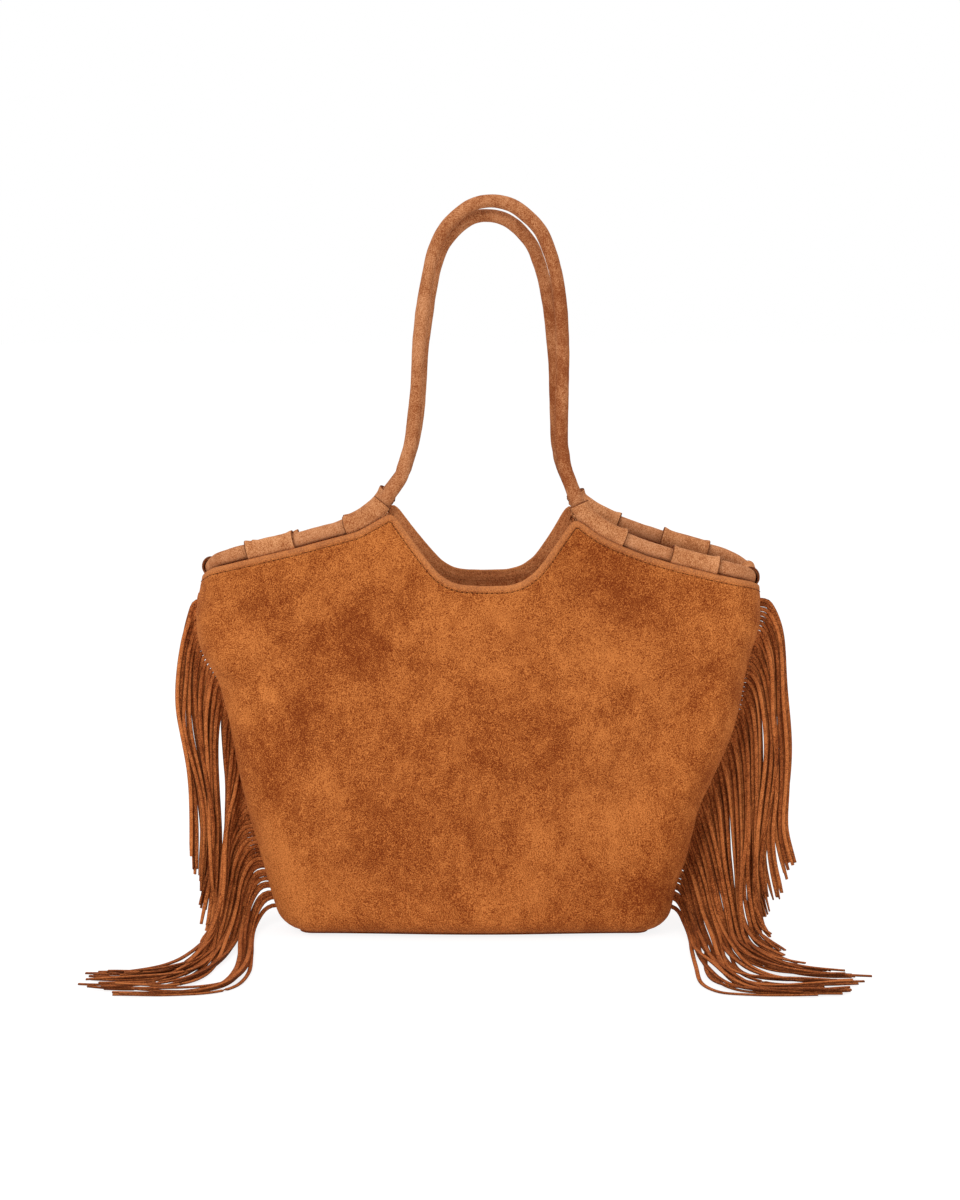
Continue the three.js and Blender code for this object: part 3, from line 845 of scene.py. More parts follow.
@dataclass
class BodyForm:
    """The standing bag's outside: its outline at every height, and its mouth's edge."""

    front_run: float = 193.0
    corner_radius: float = 30.0
    side_run: float = 7.0
    wall_bottom: float = 2.75
    foot_radius: float = 16.0
    left_half: Profile = Profile((
        (0, 160), (12, 164), (30, 169.4), (60, 177.5), (96, 187.6), (136, 194.5), (165, 200.5), (184, 205),
        (200, 209), (212, 213), (224, 222), (240, 228), (260, 229), (276, 227), (289, 223), (315, 221)))
    right_half: Profile = Profile((
        (0, 152), (11, 154.7), (36, 159.4), (54, 164.6), (79, 171.6), (105, 177.5), (123, 186.5), (144, 195),
        (165, 204), (189, 210), (208, 213.4), (229, 218.5), (243, 223), (256, 226), (281, 225), (315, 222)))
    end_half_depth: Profile = Profile(((0, 49), (140, 50), (215, 44), (287, 37), (345, 36)), 14.0)
    belly: Profile = Profile(((0, 4), (143, 9), (287, 15), (345, 16)), 14.0)
    front_edge: Profile = Profile((
        (-250, 288), (-232, 291), (-215.7, 298), (-184.8, 305.6), (-148.4, 314.4), (-97.8, 328.5),
        (-71.5, 343.5), (-70.5, 343.5), (-55.5, 323.3), (-42.5, 306.2), (-33.2, 295.7), (-24.2, 289.7),
        (-13.7, 287), (3.4, 286.2), (23, 286.6), (33.5, 289.7), (44, 297), (51.8, 306.2), (62.2, 320.7),
        (75.6, 338.6), (76.8, 338.6), (95.3, 325), (108.8, 318.3), (131.8, 308.8), (152.4, 302.4),
        (184.1, 294.1), (217.4, 286.9), (235, 282), (250, 280)), 2.4)
    back_edge: Profile = Profile((
        (-250, 285), (-232, 287), (-215.7, 292.5), (-184.8, 299.5), (-148.4, 308), (-120, 316), (-97.8, 325),
        (-73.5, 342), (-72.5, 342), (-57, 322), (-44, 306.5), (-33, 294.5), (-23, 288.5),
        (-13.7, 286.5), (3.4, 286), (23, 286.6), (35, 290), (46, 298), (54, 309), (62.2, 321),
        (74, 341), (75, 341), (95.3, 329.5), (108.8, 323.8), (131.8, 315.5), (152.4, 309),
        (184.1, 299.5), (217.4, 290), (235, 284), (250, 280)), 2.4)

    @property
    def corner_run(self) -> float:
        """Cloth distance round a corner."""
        return math.pi / 2 * self.corner_radius

    @property
    def seam_run(self) -> float:
        """Cloth distance from the front's middle to a seam."""
        return self.front_run + self.corner_run + self.side_run

    @property
    def foot_top(self) -> float:
        """Height at which the turned-in foot becomes the wall."""
        return self.wall_bottom + self.foot_radius

    def half(self, side: Side, height: Array | float) -> Array:
        """Half length of the bag at a height, on one side."""
        return (self.left_half if side is Side.LEFT else self.right_half)(height)

    def edge(self, face: Face) -> Profile:
        """The mouth's edge on one face."""
        return self.front_edge if face is Face.FRONT else self.back_edge

    def ring(self, run: Array, height: Array, face: Face, inset: Array | float = 0.0) -> Array:
        """Points on the bag's outside.

        Args:
            run: Cloth distances from the middle of the face, positive to the right.
            height: Heights.
            face: The face.
            inset: How far inside the outside.

        Returns:
            Points in millimetres.
        """
        run, height = np.broadcast_arrays(np.asarray(run, float), np.asarray(height, float))
        folded = np.abs(run)
        half = np.where(run < 0, self.left_half(height), self.right_half(height))
        straight = half - self.corner_radius
        side_depth = self.end_half_depth(height) - self.corner_radius
        radius = np.maximum(self.corner_radius - inset, 1.0)
        share = np.clip(folded / self.front_run, 0, 1)
        turn = np.clip((folded - self.front_run) / self.corner_run, 0, 1) * math.pi / 2
        rest = np.clip((self.seam_run - folded) / self.side_run, 0, 1)
        x = straight * share + radius * np.sin(turn)
        belly = self.belly(height) * np.cos(math.pi / 2 * share) ** 2
        depth = side_depth * rest + radius * np.cos(turn) + belly
        return np.stack([np.sign(run) * x, face.value * depth, height], axis=-1)

    def outward(self, run: Array, height: Array, face: Face) -> Array:
        """Level outward direction at places on the outside.

        Args:
            run: Cloth distances.
            height: Heights.
            face: The face.

        Returns:
            Unit vectors.
        """
        step = 0.5
        way = self.ring(run + step, height, face) - self.ring(run - step, height, face)
        level = np.stack([way[..., 1], -way[..., 0], np.zeros_like(way[..., 0])], axis=-1)
        return unit(level) * -face.value


@dataclass
class Panel:
    """One soft shell: wall, turned-in foot, hem with its stitch groove, and a flange at each seam."""

    form: BodyForm
    face: Face
    columns: int = 232
    wall_rows: int = 96
    hem_rows: int = 13
    foot_rows: int = 8
    margin_rows: int = 3
    hem_width: float = 9.0
    hem_swell: float = 0.7
    hem_step: tuple[float, float] = (7.5, 9.5)
    thickness: float = 2.0
    hem_thickness: float = 3.2
    flange: float = 9.0
    flange_steps: tuple[float, ...] = (0.6, 2.0, 5.0)
    seam_half: float = 0.95
    seam_calm: float = 26.0
    foot_calm: float = 40.0
    hem_calm: float = 30.0
    stitch_pitch: float = 3.8
    stitch_distance: float = 4.0
    stitch_margin: float = 8.0
    stitch_proud: float = 0.3
    groove_depth: float = 0.4
    groove_width: float = 0.8
    pucker_height: float = 0.16
    pucker_pitch: float = 9.5
    area: float = 0.155
    folds: tuple[Fold, ...] = ()
    ripples: tuple[Ripple, ...] = (Ripple(3, 120, 0.9), Ripple(4, 55, 0.35), Ripple(5, 24, 0.12))

    @property
    def name(self) -> str:
        """The node's name, which the piece's name starts with."""
        return f"{self.face.name.lower()}_panel"

    def edge_way(self) -> tuple[Array, Array, Array]:
        """The mouth's edge laid flat.

        Returns:
            Its points, the directions into the cloth, and the distance along it, column by column.
        """
        edge = self.form.edge(self.face)
        samples, reach = 4001, 5
        fine = np.linspace(-self.form.seam_run, self.form.seam_run, samples)
        line = np.stack([fine, edge(fine)], axis=1)
        walked = np.concatenate([[0], np.cumsum(np.linalg.norm(np.diff(line, axis=0), axis=1))])
        stops = np.linspace(0, walked[-1], self.columns)
        points = np.stack([np.interp(stops, walked, line[:, i]) for i in range(2)], axis=1)
        tangent = unit(np.gradient(points, axis=0))
        kernel = np.hanning(2 * reach + 3)[1:-1]
        kernel /= kernel.sum()
        soft = np.stack([np.convolve(np.pad(tangent[:, i], reach, mode="edge"), kernel, "valid")
                         for i in range(2)], axis=1)
        inward = unit(np.stack([soft[:, 1], -soft[:, 0]], axis=1))
        corner = self.form.front_run
        straight = smoothstep(np.abs(points[:, 0]), corner - 20, corner + 10)
        inward = unit(inward * (1 - straight[:, None]) + np.array([0.0, -1.0]) * straight[:, None])
        return points, inward, stops - stops[-1] / 2

    def flat_rows(self) -> tuple[Array, Array, Array, Array]:
        """Every point of the cloth before it stands.

        Returns:
            Cloth distance across, height, inset at the foot, and distance below the edge, as grids.
        """
        points, inward, _ = self.edge_way()
        down = np.linspace(0, self.hem_width, self.hem_rows)
        hem = points[None] + inward[None] * down[:, None, None]
        below = hem[-1]
        share = np.linspace(0, 1, self.wall_rows + 1)[1:, None]
        wall_run = below[None, :, 0] * (1 - share) + points[None, :, 0] * share
        wall_height = below[None, :, 1] * (1 - share) + self.form.foot_top * share
        turns = np.radians(np.linspace(90, 0, self.foot_rows + 1)[1:])[:, None]
        foot_height = self.form.wall_bottom + self.form.foot_radius * (1 - np.cos(turns))
        foot_inset = self.form.foot_radius * (1 - np.sin(turns))
        margin = np.linspace(0, self.flange, self.margin_rows + 1)[1:, None]
        ones = np.ones((1, self.columns))
        below_wall = points[None, :, 0].repeat(self.foot_rows + self.margin_rows, 0)
        run = np.vstack([hem[..., 0], wall_run, below_wall])
        height = np.vstack([hem[..., 1], wall_height, foot_height * ones,
                            np.full((len(margin), 1), self.form.wall_bottom) * ones])
        inset = np.vstack([np.zeros_like(hem[..., 0]), np.zeros_like(wall_run), foot_inset * ones,
                           (self.form.foot_radius + margin) * ones])
        stretch = np.sqrt(sum(np.diff(part, axis=0) ** 2 for part in (run, height, inset)))
        below_edge = np.vstack([np.zeros((1, self.columns)), np.cumsum(stretch, axis=0)])
        return run, height, inset, below_edge

    def relief(self, run: Array, height: Array, below_edge: Array, along: Array) -> Array:
        """How far the cloth stands out from the plain form.

        Args:
            run: Cloth distance across.
            height: Height.
            below_edge: Distance below the mouth's edge.
            along: Distance along the mouth's edge.

        Returns:
            The relief in millimetres.
        """
        cloth = np.stack([run, height], axis=-1)
        seam, foot_top = self.form.seam_run, self.form.foot_top
        seams = 1 - smoothstep(np.abs(run), seam - self.seam_calm, seam - 2)
        foot = smoothstep(height, foot_top + 2, foot_top + self.foot_calm)
        wall = seams * foot * smoothstep(below_edge, 4, self.hem_calm)
        relief = sum(ripple.at(cloth) for ripple in self.ripples) * wall
        relief = relief + sum(fold.at(run, height) for fold in self.folds) * seams * foot
        hem = self.hem_swell * (1 - smoothstep(below_edge, 7.2, 9.6))
        from_stitches = (below_edge - self.stitch_distance) / self.groove_width
        groove = -self.groove_depth * np.exp(-(from_stitches ** 2))
        wave = self.pucker_height * np.cos(along * 2 * math.pi / self.pucker_pitch)
        pucker = wave * np.exp(-((below_edge - 7) / 5) ** 2)
        return relief + (hem + groove + pucker) * seams

    def flanged(self, grid: Array) -> Array:
        """Adds the columns that turn in at the two seams.

        Args:
            grid: The wall's points.

        Returns:
            The points with a flange at each end.
        """
        grid[..., 1] = self.face.value * np.maximum(self.face.value * grid[..., 1], self.seam_half)
        steps = (*self.flange_steps, self.flange)
        left = [grid[:, :1] + np.array([step, 0, 0]) for step in reversed(steps)]
        right = [grid[:, -1:] - np.array([step, 0, 0]) for step in steps]
        return np.concatenate([*left, grid, *right], axis=1)

    def build(self) -> bpy.types.Object:
        """Builds the shell.

        Returns:
            The shell's piece.
        """
        run, height, inset, below_edge = self.flat_rows()
        _, _, along = self.edge_way()
        along = along[None].repeat(len(run), 0)
        base = self.form.ring(run, height, self.face, inset)
        normal = grid_normals(base) * self.face.value
        grid = base + normal * self.relief(run, height, below_edge, along)[..., None]
        grid = self.flanged(grid)
        extra = len(self.flange_steps) + 1
        widen = ((0, 0), (extra, extra))
        below_edge = np.pad(below_edge, widen, mode="edge")
        along = np.pad(along, widen, mode="edge")
        thinned = smoothstep(below_edge, *self.hem_step)
        thickness = self.hem_thickness + (self.thickness - self.hem_thickness) * thinned
        # Inner faces take finish 1 on the wall and finish 2 on the hem band, whose lighter colour is painted
        # light.
        lining = np.where(below_edge > self.hem_width, 1, 2)
        places = np.stack([along, below_edge], axis=-1) * MM
        if self.face is Face.FRONT:
            grid, thickness, lining, places = (a[::-1] for a in (grid, thickness, lining, places))
        parts = MeshParts()
        parts.add(*sheet_parts(grid, thickness, places, lining))
        return parts.build(f"{self.name}_suede")

    def stitch_way(self) -> Array:
        """Points on the stitch line, halfway between the needle holes.

        Returns:
            Points in millimetres, one for each stitch.
        """
        points, inward, along = self.edge_way()
        line = points + inward * self.stitch_distance
        pairs = int((along[-1] - along[0] - self.stitch_margin) / self.stitch_pitch / 2)
        count = 2 * pairs
        stops = (np.arange(count) - (count - 1) / 2) * self.stitch_pitch
        run = np.interp(stops, along, line[:, 0])
        height = np.interp(stops, along, line[:, 1])
        outward = self.form.outward(run, height, self.face)
        return self.form.ring(run, height, self.face) + outward * self.stitch_proud

    def dress(self, piece: bpy.types.Object) -> None:
        """Finishes and seats the shell.

        Args:
            piece: The shell's piece.
        """
        outside = FRONT_SUEDE if self.face is Face.FRONT else BACK_SUEDE
        for finish in (outside, INSIDE_SUEDE, INSIDE_HEM_PAINTED_LIGHT):
            piece.data.materials.append(finish.material())
        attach(piece, "root")
        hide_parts(self.name)


@dataclass
class HemThread:
    """The topstitching of one hem: a row of short stitches sunk in the suede."""

    panel: Panel
    length: float = 2.6
    thickness: float = 0.8

    def one_stitch(self) -> tuple[Array, list[Polygon]]:
        """Models one stitch, along +X.

        Returns:
            Its corners and faces.
        """
        bpy.ops.object.select_all(action="DESELECT")
        bpy.ops.mesh.primitive_uv_sphere_add(segments=6, ring_count=5, radius=0.5)
        ball = bpy.context.object
        bpy.ops.object.mode_set(mode="EDIT")
        bpy.ops.mesh.select_all(action="SELECT")
        bpy.ops.transform.resize(value=(self.thickness, self.thickness, self.length))
        bpy.ops.object.mode_set(mode="OBJECT")
        corners = np.array([tuple(v.co) for v in ball.data.vertices])[:, [2, 0, 1]]
        faces = [tuple(face.vertices) for face in ball.data.polygons]
        bpy.data.objects.remove(ball)
        return corners, faces

    def build(self) -> bpy.types.Object:
        """Copies the stitch along the hem.

        Returns:
            The piece that holds all stitches.
        """
        corners, faces = self.one_stitch()
        way = self.panel.stitch_way()
        tangent = unit(np.gradient(way, axis=0))
        outward = np.array([0.0, self.panel.face.value, 0.0])
        parts = MeshParts()
        for point, along in zip(way, tangent):
            across = unit(np.cross(along, outward))
            frame = np.stack([along, across, unit(np.cross(along, across))])
            parts.add(corners @ frame + point, faces, 0, np.zeros((len(corners), 2)))
        return parts.build(f"{self.panel.face.name.lower()}_hem_thread")

    def dress(self, piece: bpy.types.Object) -> None:
        """Finishes and seats the thread.

        Args:
            piece: The piece that holds all stitches.
        """
        piece.data.materials.append(SEWING_THREAD.material())
        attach(piece, "root")


@dataclass
class BasePanel:
    """The flat base under both shells."""

    form: BodyForm
    thickness: float = 2.4
    inset: float = 19.0
    columns: int = 120
    rows: int = 36
    name: str = "base_panel"

    def build(self) -> bpy.types.Object:
        """Builds the plate with its rounded ends.

        Returns:
            The plate's piece.
        """
        limit = self.form.front_run + self.form.corner_run
        run = np.linspace(-limit, limit, self.columns)
        rim = self.form.ring(run, self.form.foot_top, Face.BACK, self.inset)
        share = np.linspace(1, -1, self.rows)[:, None]
        x = rim[None, :, 0].repeat(self.rows, 0)
        y = rim[None, :, 1] * share
        grid = np.stack([x, y, np.zeros_like(x)], axis=-1)
        places = np.stack([x, y], axis=-1) * MM
        parts = MeshParts()
        parts.add(*sheet_parts(grid, np.full(x.shape, self.thickness), places))
        return parts.build(f"{self.name}_suede")

    def dress(self, piece: bpy.types.Object) -> None:
        """Finishes and seats the base.

        Args:
            piece: The plate's piece.
        """
        piece.data.materials.append(BASE_SUEDE.material())
        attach(piece, "root")
        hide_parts(self.name)


@dataclass
class StrapWay:
    """The way of the padded strap: round the mouth inside the hem, and up into two handles."""

    form: BodyForm
    height: float = 11.5
    thickness: float = 9.0
    gap: float = 1.6
    setback: float = 6.8
    lift: float = 14.0
    lift_fade: float = 8.4
    peak_run: float = 72.0
    seat_end: float = 82.0
    handle: float = 10.6
    centre: float = 3.1
    crown_parting: float = 5.5
    rounded_by: float = 0.2
    narrowed_by: float = 0.9
    seat_step: float = 8.0
    end_seats: int = 7
    stations: int = 640
    left_leg: tuple[tuple[float, float], ...] = (
        (-63.7, 370.1), (-60.1, 379.7), (-57.2, 389.2), (-54.8, 398.8), (-52, 417.8), (-50.3, 436.8),
        (-49.4, 455.7), (-48.2, 474.5), (-46.2, 493.3), (-43.6, 512.1), (-40.6, 530.7), (-36, 549.4),
        (-26.7, 567.9), (-8, 584.0))
    right_leg: tuple[tuple[float, float], ...] = (
        (70.8, 369), (66.8, 381), (65.4, 390), (64.2, 398.8), (64.1, 417.8), (64.6, 436.8), (65.2, 455.7),
        (65.2, 474.5), (64.4, 493.3), (62.7, 512.1), (60, 530.7), (54.6, 549.4), (46, 567), (28.6, 582.6))
    crown: tuple[float, float] = (10.0, 587.8)
    back_shift: float = -2.6
    back_narrowing: float = 0.10
    back_drop: float = 11.0

    def seat(self, run: float, face: Face) -> list[float]:
        """One station on a shoulder.

        Args:
            run: Cloth distance from the middle of the face.
            face: The face.

        Returns:
            Point, outward direction, roundness, cloth distance and face sign.
        """
        edge = float(self.form.edge(face)(run))
        out = self.form.outward(np.array(run), np.array(edge), face)
        point = self.form.ring(run, edge, face) - out * self.setback
        rise = self.lift * math.exp(-(abs(run) - self.peak_run) / self.lift_fade)
        height = edge + self.gap + self.height / 2 + rise
        return [point[0], point[1], height, out[0], out[1], 0.0, run, face.value]

    def handle_points(self, face: Face) -> list[list[float]]:
        """Stations of one handle, from left to right.

        Args:
            face: The face.

        Returns:
            Stations as seat gives them.
        """
        foot = self.seat(-self.seat_end, face)
        top = self.crown[1]
        stations = []
        for x, z in (*self.left_leg, self.crown, *reversed(self.right_leg)):
            share = (z - foot[2]) / (top - foot[2])
            if face is Face.BACK:
                eased = float(smoothstep(share, 0.0, self.narrowed_by))
                from_centre = (x - self.centre) * (1 - self.back_narrowing * eased)
                x = self.centre + from_centre + self.back_shift * eased
                z -= self.back_drop * share
            depth = abs(foot[1]) + (self.crown_parting - abs(foot[1])) * share
            rounded = float(smoothstep(share, 0.0, self.rounded_by))
            run = math.copysign(self.peak_run - 4, x)
            stations.append([x, face.value * depth, z, 0.0, face.value, rounded, run, face.value])
        return stations

    def loop(self) -> Array:
        """The whole loop at even distances, front from left to right and back from right to left.

        Returns:
            Stations as seat gives them, one in each row.
        """
        runs = [*np.arange(self.seat_end, self.form.front_run, self.seat_step),
                *np.linspace(self.form.front_run, self.form.seam_run, self.end_seats)]
        front = [self.seat(-run, Face.FRONT) for run in reversed(runs)]
        front += self.handle_points(Face.FRONT)
        front += [self.seat(run, Face.FRONT) for run in runs]
        back = [self.seat(run, Face.BACK) for run in reversed(runs)][1:]
        back += self.handle_points(Face.BACK)[::-1]
        back += [self.seat(-run, Face.BACK) for run in runs][:-1]
        points = np.array([*front, *back])
        lead = 6
        wrapped = np.vstack([points[-lead:], points, points[:lead]])
        fine = spline(wrapped, self.stations * 4)
        start = int(np.argmin(np.linalg.norm(fine[: len(fine) // 8, :3] - points[0, :3], axis=1)))
        tail = len(fine) - len(fine) // 8
        end = tail + int(np.argmin(np.linalg.norm(fine[tail:, :3] - points[0, :3], axis=1)))
        return even(fine[start:end + 1], self.stations + 1)[:-1]

    def frames(self, loop: Array) -> tuple[Array, Array, Array]:
        """Directions at each station.

        Args:
            loop: The loop's stations.

        Returns:
            Along, across and up.
        """
        along = unit(np.roll(loop[:, :3], -1, axis=0) - np.roll(loop[:, :3], 1, axis=0))
        out = np.column_stack([loop[:, 3:5], np.zeros(len(loop))])
        across = unit(out - along * np.sum(out * along, axis=1, keepdims=True))
        return along, across, np.cross(across, along)


@dataclass
class Strap:
    """One closed strap of suede folded round a soft filling, with its seam on the underside."""

    way: StrapWay
    sides: int = 24
    seam_depth: float = 0.55
    seam_width: float = 0.16
    lip_height: float = 0.2
    lip_width: float = 0.45
    unevenness: tuple[Ripple, ...] = (Ripple(11, 40, 0.16), Ripple(12, 14, 0.07))
    ripple_radius: float = 9.0
    cloth_radius: float = 5.0
    name: str = "strap"

    def build(self) -> bpy.types.Object:
        """Builds the tube along its way.

        Returns:
            The strap's piece.
        """
        loop = self.way.loop()
        _, across, up = self.way.frames(loop)
        turn = np.linspace(0, 2 * math.pi, self.sides, endpoint=False)[None]
        rounded = loop[:, 5:6]
        half_across = (self.way.thickness + (self.way.handle - self.way.thickness) * rounded) / 2
        half_up = (self.way.height + (self.way.handle - self.way.height) * rounded) / 2
        steps = np.roll(loop[:, :3], -1, axis=0) - loop[:, :3]
        walked = np.cumsum(np.linalg.norm(steps, axis=1))[:, None]
        round_x, round_y = self.ripple_radius * np.cos(turn), self.ripple_radius * np.sin(turn)
        skin = np.stack(np.broadcast_arrays(walked, round_x, round_y), axis=-1)
        swell = sum(ripple.at(skin) for ripple in self.unevenness)
        from_seam = turn - 1.5 * math.pi
        seam = -self.seam_depth * np.exp(-((from_seam / self.seam_width) ** 2))
        lip = self.lip_height * np.exp(-((from_seam / self.lip_width) ** 2))
        radius_across = half_across + swell + seam + lip
        radius_up = half_up + swell + seam + lip
        grid = (loop[:, None, :3] + across[:, None] * (radius_across * np.cos(turn))[..., None]
                + up[:, None] * (radius_up * np.sin(turn))[..., None])
        count = len(loop)
        number = np.arange(count * self.sides).reshape(count, self.sides)
        ahead, beside = np.roll(number, -1, axis=0), np.roll(number, -1, axis=1)
        both = np.roll(ahead, -1, axis=1)
        faces = np.stack([number, beside, both, ahead], axis=-1).reshape(-1, 4)
        round_it = turn * self.cloth_radius
        places = np.stack(np.broadcast_arrays(walked, round_it), axis=-1).reshape(-1, 2) * MM
        parts = MeshParts()
        parts.add(grid.reshape(-1, 3), [tuple(f) for f in faces.tolist()], 0, places)
        return parts.build(f"{self.name}_suede")

    def dress(self, piece: bpy.types.Object) -> None:
        """Finishes and seats the strap.

        Args:
            piece: The strap's piece.
        """
        piece.data.materials.append(STRAP_SUEDE.material())
        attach(piece, "root")
        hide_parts(self.name)


@dataclass
class Tab:
    """A piece of suede sewn inside the hem, wrapped over the strap and tucked in again behind itself."""

    way: StrapWay
    name: str
    faces: tuple[Face, Face]
    runs: tuple[float, float]
    slack: float = 0.5
    thickness: float = 1.4
    flare: float = 1.0
    tongue: float = 8.0
    wrap: float = 248.0
    wrap_points: int = 22
    hem_thickness: float = 3.2
    hem_gap: float = 0.7
    tongue_gap: float = 0.35
    flat_length: float = 58.0
    wear_wavelength: float = 18.0
    wear_height: float = 0.15
    flare_columns: int = 4
    columns: int = 30
    rows: int = 44
    width: float = field(init=False, default=0.0)

    def span(self, loop: Array) -> Array:
        """The strap's stations that the tab covers.

        Args:
            loop: The strap's loop with its directions.

        Returns:
            Evenly spaced stations between the tab's two ends.
        """
        ends = []
        for face, run in zip(self.faces, self.runs):
            point = np.array(self.way.seat(run, face)[:3])
            ends.append(int(np.argmin(np.linalg.norm(loop[:, :3] - point, axis=1))))
        first, last = ends
        step = 1 if (last - first) % len(loop) < len(loop) / 2 else -1
        count = abs(last - first) if abs(last - first) < len(loop) / 2 else len(loop) - abs(last - first)
        rows = loop[(first + step * np.arange(count + 1)) % len(loop)]
        return even(rows, self.columns)

    def line(self, station: Array) -> Array:
        """The tab's middle line round the strap at one station.

        Args:
            station: Point, outward, roundness, cloth distance, face sign, across and up.

        Returns:
            Points from the front tongue to the back one.
        """
        point, run, face = station[:3], station[6], Face.FRONT if station[7] < 0 else Face.BACK
        across, up = unit(station[8:11]), unit(station[11:14])
        half_across = self.way.thickness / 2 + self.slack + self.thickness / 2
        half_up = self.way.height / 2 + self.slack + self.thickness / 2
        leg = self.way.setback - self.hem_thickness - self.hem_gap - self.thickness / 2
        back_leg = leg - self.thickness - self.tongue_gap
        start = math.acos(leg / half_across)
        turns = np.linspace(-start, math.radians(self.wrap), self.wrap_points)[:, None]
        wrap = point + across * half_across * np.cos(turns) + up * half_up * np.sin(turns)
        edge = float(self.way.form.edge(face)(run))
        out = unit(np.array([station[3], station[4], 0.0]))
        foot = np.array([point[0], point[1], 0.0])

        def leg_point(distance: float, height: float) -> Array:
            """A point of a tongue inside the hem."""
            return foot + out * distance + np.array([0, 0, height])

        return np.vstack([leg_point(leg, edge - self.tongue), leg_point(leg, edge - self.tongue / 2),
                          leg_point(leg, edge), wrap, leg_point(back_leg, edge - 1.5),
                          leg_point(back_leg, edge - self.tongue)])

    def build(self) -> bpy.types.Object:
        """Builds the tab round the strap.

        Returns:
            The tab's piece.
        """
        loop = self.way.loop()
        _, across, up = self.way.frames(loop)
        span = self.span(np.column_stack([loop, across, up]))
        self.width = float(np.linalg.norm(np.diff(span[:, :3], axis=0), axis=1).sum())
        grid = np.stack([even(self.line(station), self.rows) for station in span], axis=1)
        normal = grid_normals(grid)
        row = self.rows // 2
        facing = np.sum(normal[row] * (grid[row] - span[:, :3]), axis=-1).mean()
        if facing < 0:
            grid = grid[:, ::-1]
            normal = grid_normals(grid)
        across_it = np.linspace(0, self.width * MM, self.columns)
        round_it = np.linspace(0, self.flat_length * MM, self.rows)
        places = np.stack(np.meshgrid(across_it, round_it), axis=-1)
        wear = Ripple(len(self.name), self.wear_wavelength, self.wear_height).at(grid)
        from_end = np.minimum(np.arange(self.columns), np.arange(self.columns)[::-1])
        ends = 1 - smoothstep(from_end, 0, self.flare_columns)
        flare = self.flare * ends[None] * self.lifted()[:, None]
        outer = grid + normal * (self.thickness / 2 + wear + flare)[..., None]
        parts = MeshParts()
        # The rim takes the second finish, painted shade for the shadow lines at the tab ends.
        parts.add(*sheet_parts(outer, np.full(outer.shape[:2], self.thickness), places, rim_finish=1))
        return parts.build(f"{self.name}_suede")

    def lifted(self) -> Array:
        """Share of the flare at each row: none on the two tongues inside the hem."""
        share = np.linspace(0, 1, self.rows)
        return smoothstep(share, 0.15, 0.3) * (1 - smoothstep(share, 0.7, 0.85))

    def dress(self, piece: bpy.types.Object) -> None:
        """Finishes and seats the tab.

        Args:
            piece: The tab's piece.
        """
        piece.data.materials.append(TAB_SUEDE.material())
        piece.data.materials.append(TAB_RIM_PAINTED_SHADE.material())
        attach(piece, "root")
        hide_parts(self.name)
        flat = (self.width * MM, self.flat_length * MM)


@dataclass(frozen=True)
class StrandGuide:
    """How a strand hangs or lies: its root's height, then points as distance out, depth and height."""

    root: float
    way: tuple[tuple[float, float, float], ...]

    def even_points(self, count: int) -> Array:
        """The way at even distances."""
        return spline(np.array(self.way, float), count)


